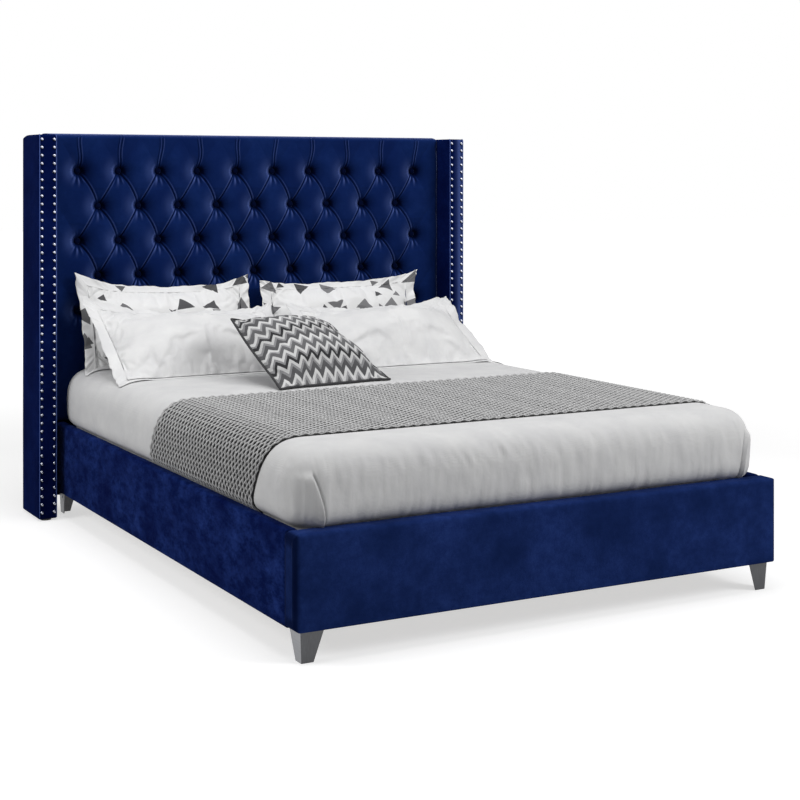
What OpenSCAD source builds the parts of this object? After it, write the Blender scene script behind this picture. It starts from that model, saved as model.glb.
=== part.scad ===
// Upholstered wingback bed, made up with its mattress, coverlet, throw and pillows.
// Millimetres. +Z is up, +Y points to the head, the origin is on the floor at the middle of the footprint.

/* [Mattress] */
// Width of the mattress
mattress_w = 1524; // [990:1:1930]
// Length of the mattress
mattress_l = 2032; // [1880:1:2130]
// Thickness of the mattress
mattress_t = 300; // [260:1:340]
// How far the sides swell out above the rails
mattress_bulge = 14; // [6:1:16]
// How far the sides give way inside the rails
mattress_tuck = 5; // [3:1:7]
// Width of the rounded top edge
mattress_round = 105; // [80:1:130]
// Corner radius of the mattress seen from above
mattress_corner = 70; // [40:1:90]

/* [Platform] */
// Height of the side rails and footboard
rail_h = 257; // [230:1:300]
// Depth of the slats below the top of the rails
slat_drop = 97; // [80:1:110]
// Gap between the mattress and each rail
side_gap = 8; // [8:0.5:12]
// Gap between the mattress and the footboard
foot_gap = 8; // [8:0.5:14]
// Gap between the mattress and the headboard's puffed velvet
head_gap = 9; // [6:0.5:14]
// Thickness of the rail boards
rail_board_t = 25; // [20:0.5:27]
// Foam and velvet outside the rail boards
rail_pad_t = 11; // [8:0.5:14]
// Foam over the top of the rails and the footboard
top_pad_t = 10; // [6:0.5:12]
// Thickness of the velvet where it is turned over a board
lining_t = 2; // [1.5:0.1:3]
// Depth of the velvet turned down inside the rails
lining_h = 90; // [70:1:94]
// Thickness of the footboard's board
foot_board_t = 44; // [36:1:50]
// Foam and velvet in front of the footboard
foot_pad_t = 14; // [10:0.5:20]
// Foam and velvet behind the footboard
foot_back_t = 8; // [4:0.5:12]
// Radius of the padded top edges
edge_r = 12; // [8:0.5:14]

/* [Headboard] */
// Height of the wings
wing_h = 1420; // [1200:1:1600]
// Height of the padded panel above the wings
panel_rise = 8; // [2:1:20]
// Width of each wing
wing_w = 71.5; // [64:0.5:90]
// Depth of each wing from front to back
wing_d = 216; // [190:1:260]
// Foam and velvet round the wing frames
wing_pad_t = 8; // [6:0.5:10]
// Radius of the wings' edges
wing_r = 8; // [5:0.5:9]
// Gap between the rails and the wings
wing_gap = 28.5; // [22:0.5:40]
// Height of the glides under the wings
glide_h = 7; // [4:0.5:10]
// Thickness of the posts and cross rails
post_t = 45; // [38:1:55]
// Width of each post
post_w = 60; // [50:1:80]
// Height of each cross rail
cross_h = 90; // [60:1:120]
// Thickness of the backing board
backing_t = 12; // [9:0.5:15]
// Height of the frame's lower edge above the floor
frame_z = 60; // [40:1:75]

/* [Tufting] */
// Distance between buttons in a row
tuft_pitch = 161; // [140:0.5:164]
// Distance between rows
tuft_row = 132.5; // [115:0.5:135]
// Number of buttons in the widest row
tuft_cols = 10; // [6:1:10]
// Number of rows
tuft_rows = 5; // [3:2:5]
// Top row's distance below the panel's top
tuft_top = 142; // [120:1:160]
// Foam between a button and the backing board
pad_t = 41; // [30:1:50]
// Height of the puffs in front of the buttons
puff_h = 24; // [14:1:30]
// Radius of a button
button_r = 12.5; // [9:0.5:14]
// Height of a button
button_h = 8; // [5:0.5:9]

/* [Nailheads] */
// Radius of a nail's head
nail_r = 5.8; // [4:0.1:6.5]
// Height of a nail's head
nail_h = 3; // [2:0.1:4]
// Distance between nails
nail_pitch = 29.8; // [24:0.1:45]
// Distance from a wing's edge to the nails
nail_inset = 12.5; // [11:0.5:16]
// Top nail's distance below the wing's top
nail_top = 18; // [16:1:30]
// Radius of the seam welt along the wing's front
welt_r = 1.6; // [1:0.1:2]

/* [Legs] */
// Height of the legs
leg_h = 86; // [80:1:130]
// Side of a leg at its top
leg_top = 70; // [60:1:80]
// Side of a leg at its foot
leg_foot = 36; // [28:1:44]
// Taper on the two outer faces of a leg
leg_lean = 5; // [2:0.5:8]
// Distance from the platform's corner to a leg
leg_inset = 18; // [16:1:24]
// Radius of the leg bolts
leg_bolt_r = 5; // [4:0.5:6]
// Length of the leg bolts above and below the joint
leg_bolt_l = 30; // [20:1:40]

/* [Slat base] */
// Number of slats
slat_n = 13; // [10:1:15]
// Width of a slat
slat_w = 70; // [60:1:80]
// Thickness of a slat
slat_t = 18; // [14:1:22]
// Width of a side ledger
ledger_w = 28; // [22:1:34]
// Height of a side ledger
ledger_h = 38; // [30:1:44]
// Width of the centre beam
beam_w = 45; // [38:1:60]
// Height of the centre beam
beam_h = 70; // [60:1:80]
// Side of a centre leg
centre_leg_w = 40; // [34:1:45]
// Number of centre legs
centre_leg_n = 3; // [3:1:3]
// Width of the webbing that ties the slats
webbing_w = 25; // [15:1:40]
// Thickness of the webbing
webbing_t = 1.2; // [0.8:0.1:1.6]

/* [Hardware] */
// Length of each side of a corner bracket
bracket_l = 70; // [60:1:90]
// Height of a corner bracket
bracket_h = 120; // [100:1:130]
// Thickness of the steel brackets
bracket_t = 4; // [3:0.5:5]
// Radius of the bracket bolts
bolt_r = 4; // [3:0.5:5]
// Length of a bracket bolt in the wood
bolt_l = 20; // [14:1:22]
// Radius of a bolt's round head
bolt_head_r = 8; // [7:0.5:9]
// Height of a bolt's round head
bolt_head_h = 4; // [3:0.5:5]
// Length of the threaded stud of a levelling foot
stud_l = 34; // [30:1:45]
// Radius of the stud
stud_r = 5; // [4:0.5:6]
// Radius of the levelling foot's pad
foot_pad_r = 20; // [16:1:24]
// Height of the levelling foot's pad
foot_pad_h = 12; // [9:0.5:15]

/* [Bedding] */
// Thickness of the coverlet
coverlet_t = 3; // [2:0.5:3.5]
// Depth that the coverlet is tucked below the top of the rails
coverlet_tuck = 60; // [40:1:80]
// Height of the folded corners at the foot above the rails
fold_h = 120; // [60:1:150]
// How far a corner fold stands proud
fold_t = 2.5; // [1:0.5:3]
// Thickness of the knitted throw
throw_t = 5.5; // [4:0.5:6]
// Width of the throw along the bed
throw_w = 800; // [500:1:820]
// Distance from the mattress foot to the throw
throw_foot = 186; // [120:1:210]
// How much nearer the head the throw's sides lie than its middle
throw_skew = 60; // [0:1:90]
// Depth that the throw is tucked below the top of the rails
throw_tuck = 40; // [20:1:50]

/* [Pillows] */
// Width of a sham
sham_w = 708; // [600:1:740]
// Height of a sham
sham_h = 436; // [400:1:500]
// Lean of a sham from the mattress
sham_tilt = 68; // [60:1:75]
// Distance from the headboard to a sham's foot
sham_back = 184; // [180:1:220]
// Half thickness of a sham
sham_crown = 62; // [45:1:70]
// Width of the flange round a sham or pillow
flange_w = 38; // [20:1:50]
// Width of a white pillow
pillow_w = 752; // [650:1:756]
// Height of a white pillow
pillow_h = 505; // [460:1:540]
// Lean of a white pillow from the mattress
pillow_tilt = 31; // [26:1:34]
// Distance from the headboard to the left pillow's foot
pillow_left_back = 560; // [540:1:600]
// Distance from the headboard to the right pillow's foot
pillow_right_back = 652; // [600:1:680]
// Rise of a white pillow's front
pillow_crown = 112; // [80:1:120]
// Swell of a white pillow's back
pillow_under = 66; // [40:1:80]
// Side of the zigzag cushion
cushion_w = 446; // [400:1:460]
// Lean of the zigzag cushion from the mattress
cushion_tilt = 27; // [22:1:31]
// Distance from the headboard to the zigzag cushion's foot
cushion_back = 962; // [950:1:1000]
// Rise of the zigzag cushion's front and back
cushion_crown = 70; // [50:1:80]

/* [Hidden] */
$fn = 48;
// Running gap between soft pieces, and between a soft piece and what carries it
soft_gap = 0.4;
// Clearance of a bolt in its hole
bolt_gap = 0.25;
// Clearance of a wood frame in its cover
frame_gap = 0.2;
// Thickness of a cushion at its edge
edge_t = 5;

velvet = [0.07, 0.11, 0.36];
timber = [0.76, 0.62, 0.44];
black_cloth = [0.10, 0.10, 0.11];
steel = [0.55, 0.56, 0.58];
nickel = [0.82, 0.83, 0.85];
white_cotton = [0.93, 0.93, 0.93];
grey_cotton = [0.84, 0.84, 0.85];
grey_knit = [0.58, 0.58, 0.59];

// Widths, from the mattress outwards
inner_w = mattress_w + 2 * side_gap;
rail_t = lining_t + rail_board_t + rail_pad_t;
platform_w = inner_w + 2 * rail_t;
panel_w = platform_w + 2 * wing_gap;
head_w = panel_w + 2 * wing_w;

// Depths, from the front of the footboard to the back of the headboard
foot_t = foot_pad_t + foot_board_t + foot_back_t;
bed_l = foot_t + foot_gap + mattress_l + head_gap + puff_h + pad_t + backing_t + post_t + lining_t;
front_y = -bed_l / 2;
back_y = bed_l / 2;
foot_inner_y = front_y + foot_t;
mattress_foot_y = foot_inner_y + foot_gap;
mattress_head_y = mattress_foot_y + mattress_l;
mattress_mid_y = (mattress_foot_y + mattress_head_y) / 2;
puff_y = mattress_head_y + head_gap;
button_y = puff_y + puff_h;
backing_y = button_y + pad_t;
post_y = backing_y + backing_t;
wing_y = back_y - wing_d;
rail_end_y = backing_y - lining_t;

// Heights
rail_z = leg_h;
rail_top = leg_h + rail_h;
slat_top = rail_top - slat_drop;
ledger_top = slat_top - slat_t;
mattress_z = slat_top + webbing_t + soft_gap;
mattress_top = mattress_z + mattress_t;
widest_z = rail_top + (mattress_top - rail_top) * 0.43;
panel_top = wing_h + panel_rise;
frame_top = wing_h - 12;
pad_z = rail_top + 7;
wing_z = glide_h;

// Layers of bedding, as distances outside the mattress
coverlet_in = soft_gap;
coverlet_out = coverlet_in + coverlet_t;
throw_in = coverlet_out + soft_gap;
throw_out = throw_in + throw_t;

// Tuft grid
tuft_x0 = -tuft_pitch * (tuft_cols - 1) / 2;
tuft_z0 = panel_top - tuft_top;
tuft_last_z = tuft_z0 - tuft_row * (tuft_rows - 1);

// A box between two corners
module block(low, high) {
    translate(low) cube(high - low);
}

module both_sides() {
    children();
    mirror([1, 0, 0]) children();
}

// An outline with its own radius at the top and at the bottom
module soft_outline(w, h, top_r, low_r) {
    translate([0, low_r]) square([w, h - top_r - low_r]);
    translate([top_r, low_r]) square([w - 2 * top_r, h - low_r]);
    translate([low_r, 0]) square([w - 2 * low_r, h / 2]);
    for (x = [top_r, w - top_r]) translate([x, h - top_r]) circle(top_r);
    for (x = [low_r, w - low_r]) translate([x, low_r]) circle(low_r);
}

// A shallow dome on a flat back, rising along +Z
module dome(r, h) {
    ball = (r * r + h * h) / (2 * h);
    rotate_extrude() intersection() {
        translate([0, h - ball]) circle(ball, $fn = 96);
        square([r, h]);
    }
}

// Runs a drawing of Y and Z along X
module along_x(x0, x1) {
    translate([x0, 0, 0]) rotate([90, 0, 90]) linear_extrude(x1 - x0) children();
}

// Runs a drawing of X and Z along Y
module along_y(y0, y1) {
    translate([0, y1, 0]) rotate([90, 0, 0]) linear_extrude(y1 - y0) children();
}

module rod_x(x0, x1, y, z, r) {
    translate([x0, y, z]) rotate([0, 90, 0]) cylinder(r = r, h = x1 - x0);
}

module rod_y(x, y0, y1, z, r) {
    translate([x, y0, z]) rotate([-90, 0, 0]) cylinder(r = r, h = y1 - y0);
}

// Headboard frame
wing_bolt_zs = [300, wing_h / 2, frame_top - 120];
wing_bolt_y = post_y + post_t / 2;
wing_bolt_in = 40;
cross_zs = [frame_z, (frame_z + frame_top - cross_h) * 0.42, (frame_z + frame_top - cross_h) * 0.72,
    frame_top - cross_h];
bracket_z = ledger_top - ledger_h - bracket_h + 60;
bracket_bolt_zs = [bracket_z + 25, ledger_top - bolt_head_r - 5];
bracket_hole = 45;

module wing_bolt_holes(r) {
    x0 = panel_w / 2 - post_w;
    for (z = wing_bolt_zs) rod_x(x0 - 1, panel_w / 2 + wing_pad_t + wing_bolt_in, wing_bolt_y, z, r);
}

module headboard_posts() {
    color(timber) both_sides() difference() {
        block([panel_w / 2 - post_w, post_y, frame_z], [panel_w / 2, post_y + post_t, frame_top]);
        wing_bolt_holes(bolt_r + bolt_gap);
    }
}

module headboard_cross_rails() {
    x = panel_w / 2 - post_w;
    color(timber) difference() {
        for (z = cross_zs) block([-x, post_y, z], [x, post_y + post_t, z + cross_h]);
        head_bracket_holes();
    }
}

module head_bracket_holes() {
    both_sides() for (z = bracket_bolt_zs)
        rod_y(inner_w / 2 + lining_t - bracket_hole, rail_end_y - 1, rail_end_y + bolt_l + 1, z, bolt_r + bolt_gap);
}

module headboard_backing_board() {
    color(timber) difference() {
        block([-panel_w / 2, backing_y, frame_z], [panel_w / 2, post_y, frame_top]);
        head_bracket_holes();
    }
}

module headboard_top_roll() {
    r = panel_top - frame_top;
    color(velvet) along_x(-panel_w / 2, panel_w / 2) {
        translate([backing_y, frame_top]) square([back_y - backing_y - r, r]);
        translate([back_y - r, frame_top]) intersection() {
            circle(r);
            square([r, r]);
        }
    }
}

module headboard_lower_cover() {
    color(velvet) difference() {
        block([-panel_w / 2, rail_end_y, frame_z], [panel_w / 2, backing_y, pad_z]);
        head_bracket_holes();
    }
}

module headboard_back_cover() {
    color(black_cloth) block([-panel_w / 2, back_y - lining_t, frame_z], [panel_w / 2, back_y, frame_top]);
}

// Tufted pad. A place on the pad is read in button pitches across and in rows down.
pleat_fade = tuft_row * 0.85;
pad_roll = 16;

function smooth(t) = let(c = min(1, max(0, t))) c * c * (3 - 2 * c);
function puff(x, z) =
    let(
        across = (x - tuft_x0) / tuft_pitch,
        down = (tuft_z0 - z) / tuft_row,
        last = tuft_rows - 1,
        // Beyond the first and last row the creases run straight up and down
        edge_row = max(-down, down - last, 0),
        row = min(max(down, 0), last),
        p = across + row / 2,
        q = across - row / 2,
        near = norm([p - round(p) + edge_row / 2, q - round(q) - edge_row / 2]),
        crease = pow(abs(sin(180 * p)) * abs(sin(180 * q)), 0.55),
        fade = down > last ? smooth((down - last) * tuft_row / pleat_fade) : 0
    )
    puff_h * smooth((near - 0.2) / 0.4) * (0.3 + 0.7 * (crease + (1 - crease) * fade));

function pad_depth(x, z) =
    abs(x) > -tuft_x0 + tuft_pitch / 4 ? puff_h * 0.6 :
    z < tuft_last_z - pleat_fade + 1 ? puff_h * 0.6 :
    z > panel_top - 1 ? -pad_t * 0.5 :
    puff(x, z);

// The grid is close round the buttons, so that each sits in a flat pit
module headboard_tufted_pad() {
    steps = [0, 0.2, 0.8];
    pit_x = tuft_pitch * 0.1;
    pit_z = tuft_row * 0.2;
    xs = concat([-panel_w / 2, tuft_x0 - pit_x],
        [for (k = [0 : 2 * tuft_cols - 3], f = steps) tuft_x0 + (k + f) * tuft_pitch / 2],
        [-tuft_x0, pit_x - tuft_x0, panel_w / 2]);
    zs = concat([pad_z, tuft_last_z - pleat_fade, tuft_last_z - pit_z],
        [for (k = [0 : tuft_rows - 2], f = steps) tuft_last_z + (k + f) * tuft_row],
        [tuft_z0, tuft_z0 + pit_z, panel_top - pad_roll, panel_top]);
    nx = len(xs);
    nz = len(zs);
    front = [for (z = zs, x = xs) [x, button_y - pad_depth(x, z), z]];
    corners = [for (at = [[-1, pad_z], [1, pad_z], [1, panel_top], [-1, panel_top]])
        [at[0] * panel_w / 2, backing_y, at[1]]];
    // Numbers of the front points along each side, and of the first corner at the back
    sides = [[for (i = [0 : nx - 1]) i], [for (j = [0 : nz - 1]) j * nx + nx - 1],
        [for (i = [nx - 1 : -1 : 0]) (nz - 1) * nx + i], [for (j = [nz - 1 : -1 : 0]) j * nx]];
    c = nx * nz;
    color(velvet) polyhedron(
        points = concat(front, corners),
        faces = concat(
            [for (j = [0 : nz - 2], i = [0 : nx - 2]) each grid_cell(j * nx + i, nx, (i + j) % 2)],
            [for (s = [0 : 3]) each let(side = sides[s], to = c + (s + 1) % 4) concat(
                [[side[0], to, c + s]],
                [for (k = [1 : len(side) - 1]) [side[k - 1], side[k], to]])],
            [[c, c + 1, c + 2], [c, c + 2, c + 3]]));
}

// Two triangles of a grid cell, seen from -Y, split along either diagonal
function grid_cell(a, nx, turn) = turn == 0
    ? [[a, a + nx + 1, a + 1], [a, a + nx, a + nx + 1]]
    : [[a, a + nx, a + 1], [a + 1, a + nx, a + nx + 1]];

module tufting_buttons() {
    color(velvet) for (row = [0 : tuft_rows - 1], col = [0 : tuft_cols - 1 - row % 2])
        translate([tuft_x0 + (col + (row % 2) / 2) * tuft_pitch, button_y, tuft_z0 - row * tuft_row])
            rotate([90, 0, 0]) dome(button_r, button_h);
}

// Wings, drawn at +X and mirrored
wing_x = panel_w / 2;
welt_inset = nail_inset - nail_r - welt_r - soft_gap / 2;

module wing_frame() {
    x0 = wing_x + wing_pad_t + frame_gap;
    x1 = wing_x + wing_w - wing_pad_t - frame_gap;
    y0 = wing_y + wing_pad_t + frame_gap;
    y1 = back_y - wing_pad_t - frame_gap;
    top = wing_h - wing_pad_t - frame_gap;
    stile = 45;
    rung = 60;
    rungs = 7;
    gap = (top - wing_z - rung) / (rungs - 1);
    difference() {
        union() {
            block([x0, y0, wing_z], [x1, y0 + stile, top]);
            block([x0, y1 - stile, wing_z], [x1, y1, top]);
            for (k = [0 : rungs - 1]) block([x0, y0 + stile, wing_z + k * gap], [x1, y1 - stile, wing_z + k * gap + rung]);
        }
        wing_bolt_holes(bolt_r + bolt_gap);
    }
}

module wing_cover() {
    difference() {
        union() {
            intersection() {
                translate([wing_x, wing_y, wing_z]) linear_extrude(wing_h - wing_z)
                    soft_outline(wing_w, wing_d, wing_r, wing_r);
                along_y(wing_y, back_y) translate([wing_x, wing_z])
                    soft_outline(wing_w, wing_h - wing_z, wing_r, 1);
                along_x(wing_x, wing_x + wing_w) translate([wing_y, wing_z])
                    soft_outline(wing_d, wing_h - wing_z, wing_r, 1);
            }
            for (x = [wing_x + welt_inset, wing_x + wing_w - welt_inset])
                translate([x, wing_y + 1, wing_z]) cylinder(r = welt_r, h = wing_h - wing_z - wing_r);
        }
        block([wing_x + wing_pad_t, wing_y + wing_pad_t, wing_z - 1],
            [wing_x + wing_w - wing_pad_t, back_y - wing_pad_t, wing_h - wing_pad_t]);
        wing_bolt_holes(bolt_r + bolt_gap);
    }
}

module wing_nailheads() {
    count = floor((wing_h - nail_top - wing_z - nail_r - 6) / nail_pitch) + 1;
    for (x = [wing_x + nail_inset, wing_x + wing_w - nail_inset], k = [0 : count - 1])
        translate([x, wing_y, wing_h - nail_top - k * nail_pitch]) rotate([90, 0, 0]) dome(nail_r, nail_h);
}

module wing_left_frame() { color(timber) mirror([1, 0, 0]) wing_frame(); }
module wing_right_frame() { color(timber) wing_frame(); }
module wing_left_cover() { color(velvet) mirror([1, 0, 0]) wing_cover(); }
module wing_right_cover() { color(velvet) wing_cover(); }
module wing_left_nailheads() { color(nickel) mirror([1, 0, 0]) wing_nailheads(); }
module wing_right_nailheads() { color(nickel) wing_nailheads(); }

module wing_glides() {
    glide_r = 20;
    color(black_cloth) both_sides() for (y = [wing_y + wing_pad_t + glide_r + 2, back_y - wing_pad_t - glide_r - 2])
        translate([wing_x + wing_w / 2, y, 0]) cylinder(r = glide_r, h = wing_z);
}

module wing_bolts() {
    x0 = wing_x - post_w;
    color(steel) both_sides() for (z = wing_bolt_zs) {
        rod_x(x0, wing_x + wing_pad_t + wing_bolt_in - 2, wing_bolt_y, z, bolt_r);
        rod_x(x0 - bolt_head_h, x0, wing_bolt_y, z, bolt_head_r);
    }
}

// Side rails, drawn at +X and mirrored
rail_x = inner_w / 2;

module rail_board() {
    difference() {
        block([rail_x + lining_t, foot_inner_y, rail_z + lining_t],
            [rail_x + lining_t + rail_board_t, rail_end_y, rail_top - top_pad_t]);
        rail_bracket_holes();
        rear_leg_bolt_hole();
    }
}

module rail_cover() {
    difference() {
        along_y(foot_inner_y, rail_end_y) difference() {
            translate([rail_x, rail_z]) soft_outline(rail_t, rail_h, edge_r, 4);
            translate([rail_x + lining_t, rail_z + lining_t])
                square([rail_board_t, rail_h - lining_t - top_pad_t]);
            translate([rail_x - 1, rail_z + 20]) square([lining_t + 2, rail_h - 20 - lining_h]);
        }
        rear_leg_bolt_hole();
    }
}

module rail_ledger() {
    x = rail_x + lining_t;
    difference() {
        block([x - ledger_w, foot_inner_y + bracket_l + 10, ledger_top - ledger_h],
            [x, rail_end_y - bracket_l - 10, ledger_top]);
        slat_screw_holes();
    }
}

module rail_left_board() { color(timber) mirror([1, 0, 0]) rail_board(); }
module rail_right_board() { color(timber) rail_board(); }
module rail_left_cover() { color(velvet) mirror([1, 0, 0]) rail_cover(); }
module rail_right_cover() { color(velvet) rail_cover(); }
module rail_left_ledger() { color(timber) mirror([1, 0, 0]) rail_ledger(); }
module rail_right_ledger() { color(timber) rail_ledger(); }

// Footboard
foot_board_y = front_y + foot_pad_t;

module footboard_pocket() {
    block([-platform_w / 2 + rail_pad_t, foot_board_y, rail_z + lining_t],
        [platform_w / 2 - rail_pad_t, foot_board_y + foot_board_t, rail_top - top_pad_t]);
}

module footboard_board() {
    color(timber) difference() {
        footboard_pocket();
        foot_bracket_holes();
        front_leg_bolt_holes();
        beam_bracket_screw_holes();
    }
}

module footboard_cover() {
    color(velvet) difference() {
        intersection() {
            along_x(-platform_w / 2, platform_w / 2) translate([front_y, rail_z])
                soft_outline(foot_t, rail_h, edge_r, 4);
            translate([-platform_w / 2, front_y, rail_z]) linear_extrude(rail_h)
                soft_outline(platform_w, foot_t, 1, edge_r);
            along_y(front_y, foot_inner_y) translate([-platform_w / 2, rail_z])
                soft_outline(platform_w, rail_h, edge_r, 4);
        }
        footboard_pocket();
        // The back is bare board below the turned-down velvet
        block([-bracket_x, foot_board_y + 1, rail_z + 20],
            [bracket_x, foot_inner_y + 1, rail_top - lining_h]);
        front_leg_bolt_holes();
    }
}

// Corner brackets, one leg on the rail board and one on the footboard or headboard
bracket_x = rail_x + lining_t;
bracket_foot_y = foot_board_y + foot_board_t;

module rail_bracket_holes() {
    for (z = bracket_bolt_zs, y = [bracket_foot_y + bracket_hole, rail_end_y - bracket_hole])
        rod_x(bracket_x - 1, bracket_x + bolt_l + 1, y, z, bolt_r + bolt_gap);
}

module foot_bracket_holes() {
    both_sides() for (z = bracket_bolt_zs)
        rod_y(bracket_x - bracket_hole, bracket_foot_y - bolt_l - 1, bracket_foot_y + 1, z, bolt_r + bolt_gap);
}

module corner_bracket(y, way) {
    r = bolt_r + bolt_gap;
    y0 = way > 0 ? y : y - bracket_l;
    plate_y = way > 0 ? y : y - bracket_t;
    difference() {
        union() {
            block([bracket_x - bracket_t, y0, bracket_z], [bracket_x, y0 + bracket_l, bracket_z + bracket_h]);
            block([bracket_x - bracket_l, plate_y, bracket_z], [bracket_x, plate_y + bracket_t, bracket_z + bracket_h]);
        }
        for (z = bracket_bolt_zs) {
            rod_x(bracket_x - bracket_t - 1, bracket_x + 1, y + way * bracket_hole, z, r);
            rod_y(bracket_x - bracket_hole, plate_y - 1, plate_y + bracket_t + 1, z, r);
        }
    }
}

module corner_brackets() {
    color(steel) both_sides() {
        corner_bracket(bracket_foot_y, 1);
        corner_bracket(rail_end_y, -1);
    }
}

module round_bolt(length) {
    cylinder(r = bolt_r, h = length);
    translate([0, 0, -bolt_head_h]) cylinder(r = bolt_head_r, h = bolt_head_h);
}

module bracket_bolts() {
    x = bracket_x - bracket_hole;
    length = bolt_l + bracket_t - 2;
    color(steel) both_sides() for (z = bracket_bolt_zs) {
        translate([x, bracket_foot_y + bracket_t, z]) rotate([90, 0, 0]) round_bolt(length);
        translate([x, rail_end_y - bracket_t, z]) rotate([-90, 0, 0]) round_bolt(length);
        for (y = [bracket_foot_y + bracket_hole, rail_end_y - bracket_hole])
            translate([bracket_x - bracket_t, y, z]) rotate([0, 90, 0]) round_bolt(length);
    }
}

// Legs. The outer corner is nearly upright and the two inner faces lean in.
leg_x = platform_w / 2 - leg_inset;
leg_front_y = front_y + leg_inset;
leg_rear_y = rail_end_y - leg_inset;
front_bolt = [platform_w / 2 - leg_inset - leg_top / 2, foot_board_y + foot_board_t / 2];
rear_bolt = [rail_x + lining_t + rail_board_t / 2, leg_rear_y - leg_top / 2];

module leg_bolt_at(at, r) {
    translate([at[0], at[1], leg_h - leg_bolt_l]) cylinder(r = r, h = 2 * leg_bolt_l);
}

module front_leg_bolt_holes() { both_sides() leg_bolt_at(front_bolt, leg_bolt_r + bolt_gap); }
module rear_leg_bolt_hole() { leg_bolt_at(rear_bolt, leg_bolt_r + bolt_gap); }

// A leg whose outer corner stands at the origin, with the leg towards -X and +Y
module tapered_leg() {
    outline = [[-leg_lean, 0], [0, leg_h], [-leg_top, leg_h], [-leg_lean - leg_foot, 0]];
    intersection() {
        along_y(-1, leg_top + 1) polygon(outline);
        along_x(-leg_top - 1, 1) polygon([for (p = outline) [-p[0], p[1]]]);
    }
}

module leg_front() {
    difference() {
        translate([leg_x, leg_front_y, 0]) tapered_leg();
        leg_bolt_at(front_bolt, leg_bolt_r + bolt_gap);
    }
}

module leg_rear() {
    difference() {
        translate([leg_x, leg_rear_y, 0]) mirror([0, 1, 0]) tapered_leg();
        leg_bolt_at(rear_bolt, leg_bolt_r + bolt_gap);
    }
}

module leg_front_left() { color(steel) mirror([1, 0, 0]) leg_front(); }
module leg_front_right() { color(steel) leg_front(); }
module leg_rear_left() { color(steel) mirror([1, 0, 0]) leg_rear(); }
module leg_rear_right() { color(steel) leg_rear(); }

module leg_bolts() {
    color(steel) both_sides() for (at = [front_bolt, rear_bolt])
        translate([at[0], at[1], leg_h - leg_bolt_l + 1]) cylinder(r = leg_bolt_r, h = 2 * leg_bolt_l - 2);
}

// Slat base
beam_y0 = bracket_foot_y + bracket_t;
beam_y1 = rail_end_y - bracket_t;
beam_z = ledger_top - beam_h;
centre_leg_ys = [for (k = [0 : centre_leg_n - 1]) beam_y0 + (beam_y1 - beam_y0) * (k + 1) / (centre_leg_n + 1)];
centre_leg_z = foot_pad_h + 6;
slat_l = inner_w - 6;
slat_first_y = foot_inner_y + slat_w / 2 + 12;
slat_last_y = rail_end_y - slat_w / 2 - 12;
slat_screw_x = slat_l / 2 - 12;
slat_screw_l = 34;
slat_screw_r = 2;
slat_screw_head_r = 4;
slat_screw_head_h = 3;

function slat_y(k) = slat_first_y + (slat_last_y - slat_first_y) * k / (slat_n - 1);
// The first and last slats lie beyond the ledgers' ends, so only the others are screwed down
function slat_is_screwed(k) = slat_y(k) - slat_w / 2 > foot_inner_y + bracket_l + 10
    && slat_y(k) + slat_w / 2 < rail_end_y - bracket_l - 10;

module slat_screw_holes() {
    both_sides() for (k = [0 : slat_n - 1]) if (slat_is_screwed(k)) translate([slat_screw_x, slat_y(k), 0]) {
        translate([0, 0, slat_top - slat_screw_l - 1]) cylinder(r = slat_screw_r + 0.1, h = slat_screw_l + 2);
        translate([0, 0, slat_top - slat_screw_head_h]) cylinder(r = slat_screw_head_r + 0.2, h = 2 * slat_screw_head_h);
    }
}

module centre_beam() {
    color(timber) block([-beam_w / 2, beam_y0, beam_z], [beam_w / 2, beam_y1, ledger_top]);
}

// A hanger with a back plate and two cheeks, under and beside the beam's end
module beam_bracket(y, way) {
    wall = bracket_t - 1;
    cheek = 50;
    y0 = way > 0 ? y : y - bracket_t;
    c0 = way > 0 ? y : y - cheek;
    w = beam_w / 2 + wall;
    difference() {
        union() {
            block([-w - 22, y0, beam_z - wall], [w + 22, y0 + bracket_t, ledger_top - 6]);
            block([-w, c0, beam_z - wall], [w, c0 + cheek, ledger_top - 6]);
        }
        block([-beam_w / 2, way > 0 ? y + bracket_t : y - cheek - 1, beam_z],
            [beam_w / 2, way > 0 ? y + cheek + 1 : y - bracket_t, ledger_top]);
        for (x = [-w - 12, w + 12]) rod_y(x, y - 2 * cheek, y + 2 * cheek, beam_z + beam_h / 2, 3);
    }
}

module beam_bracket_screw_holes() {
    w = beam_w / 2 + bracket_t + 11;
    for (x = [-w, w]) rod_y(x, bracket_foot_y - 16, bracket_foot_y + 1, beam_z + beam_h / 2, 3);
}

module beam_brackets() {
    color(steel) {
        beam_bracket(bracket_foot_y, 1);
        beam_bracket(rail_end_y, -1);
    }
}

module centre_leg(k) {
    y = centre_leg_ys[k];
    plate = 34;
    color(timber) difference() {
        union() {
            block([-centre_leg_w / 2, y - centre_leg_w / 2, centre_leg_z], [centre_leg_w / 2, y + centre_leg_w / 2, beam_z]);
            block([-beam_w / 2, y - plate, beam_z - 6], [beam_w / 2, y + plate, beam_z]);
        }
        translate([0, y, centre_leg_z - 1]) cylinder(r = stud_r + bolt_gap, h = stud_l + 4);
    }
}

module centre_leg_foot() { centre_leg(0); }
module centre_leg_middle() { centre_leg(1); }
module centre_leg_head() { centre_leg(2); }

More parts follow.
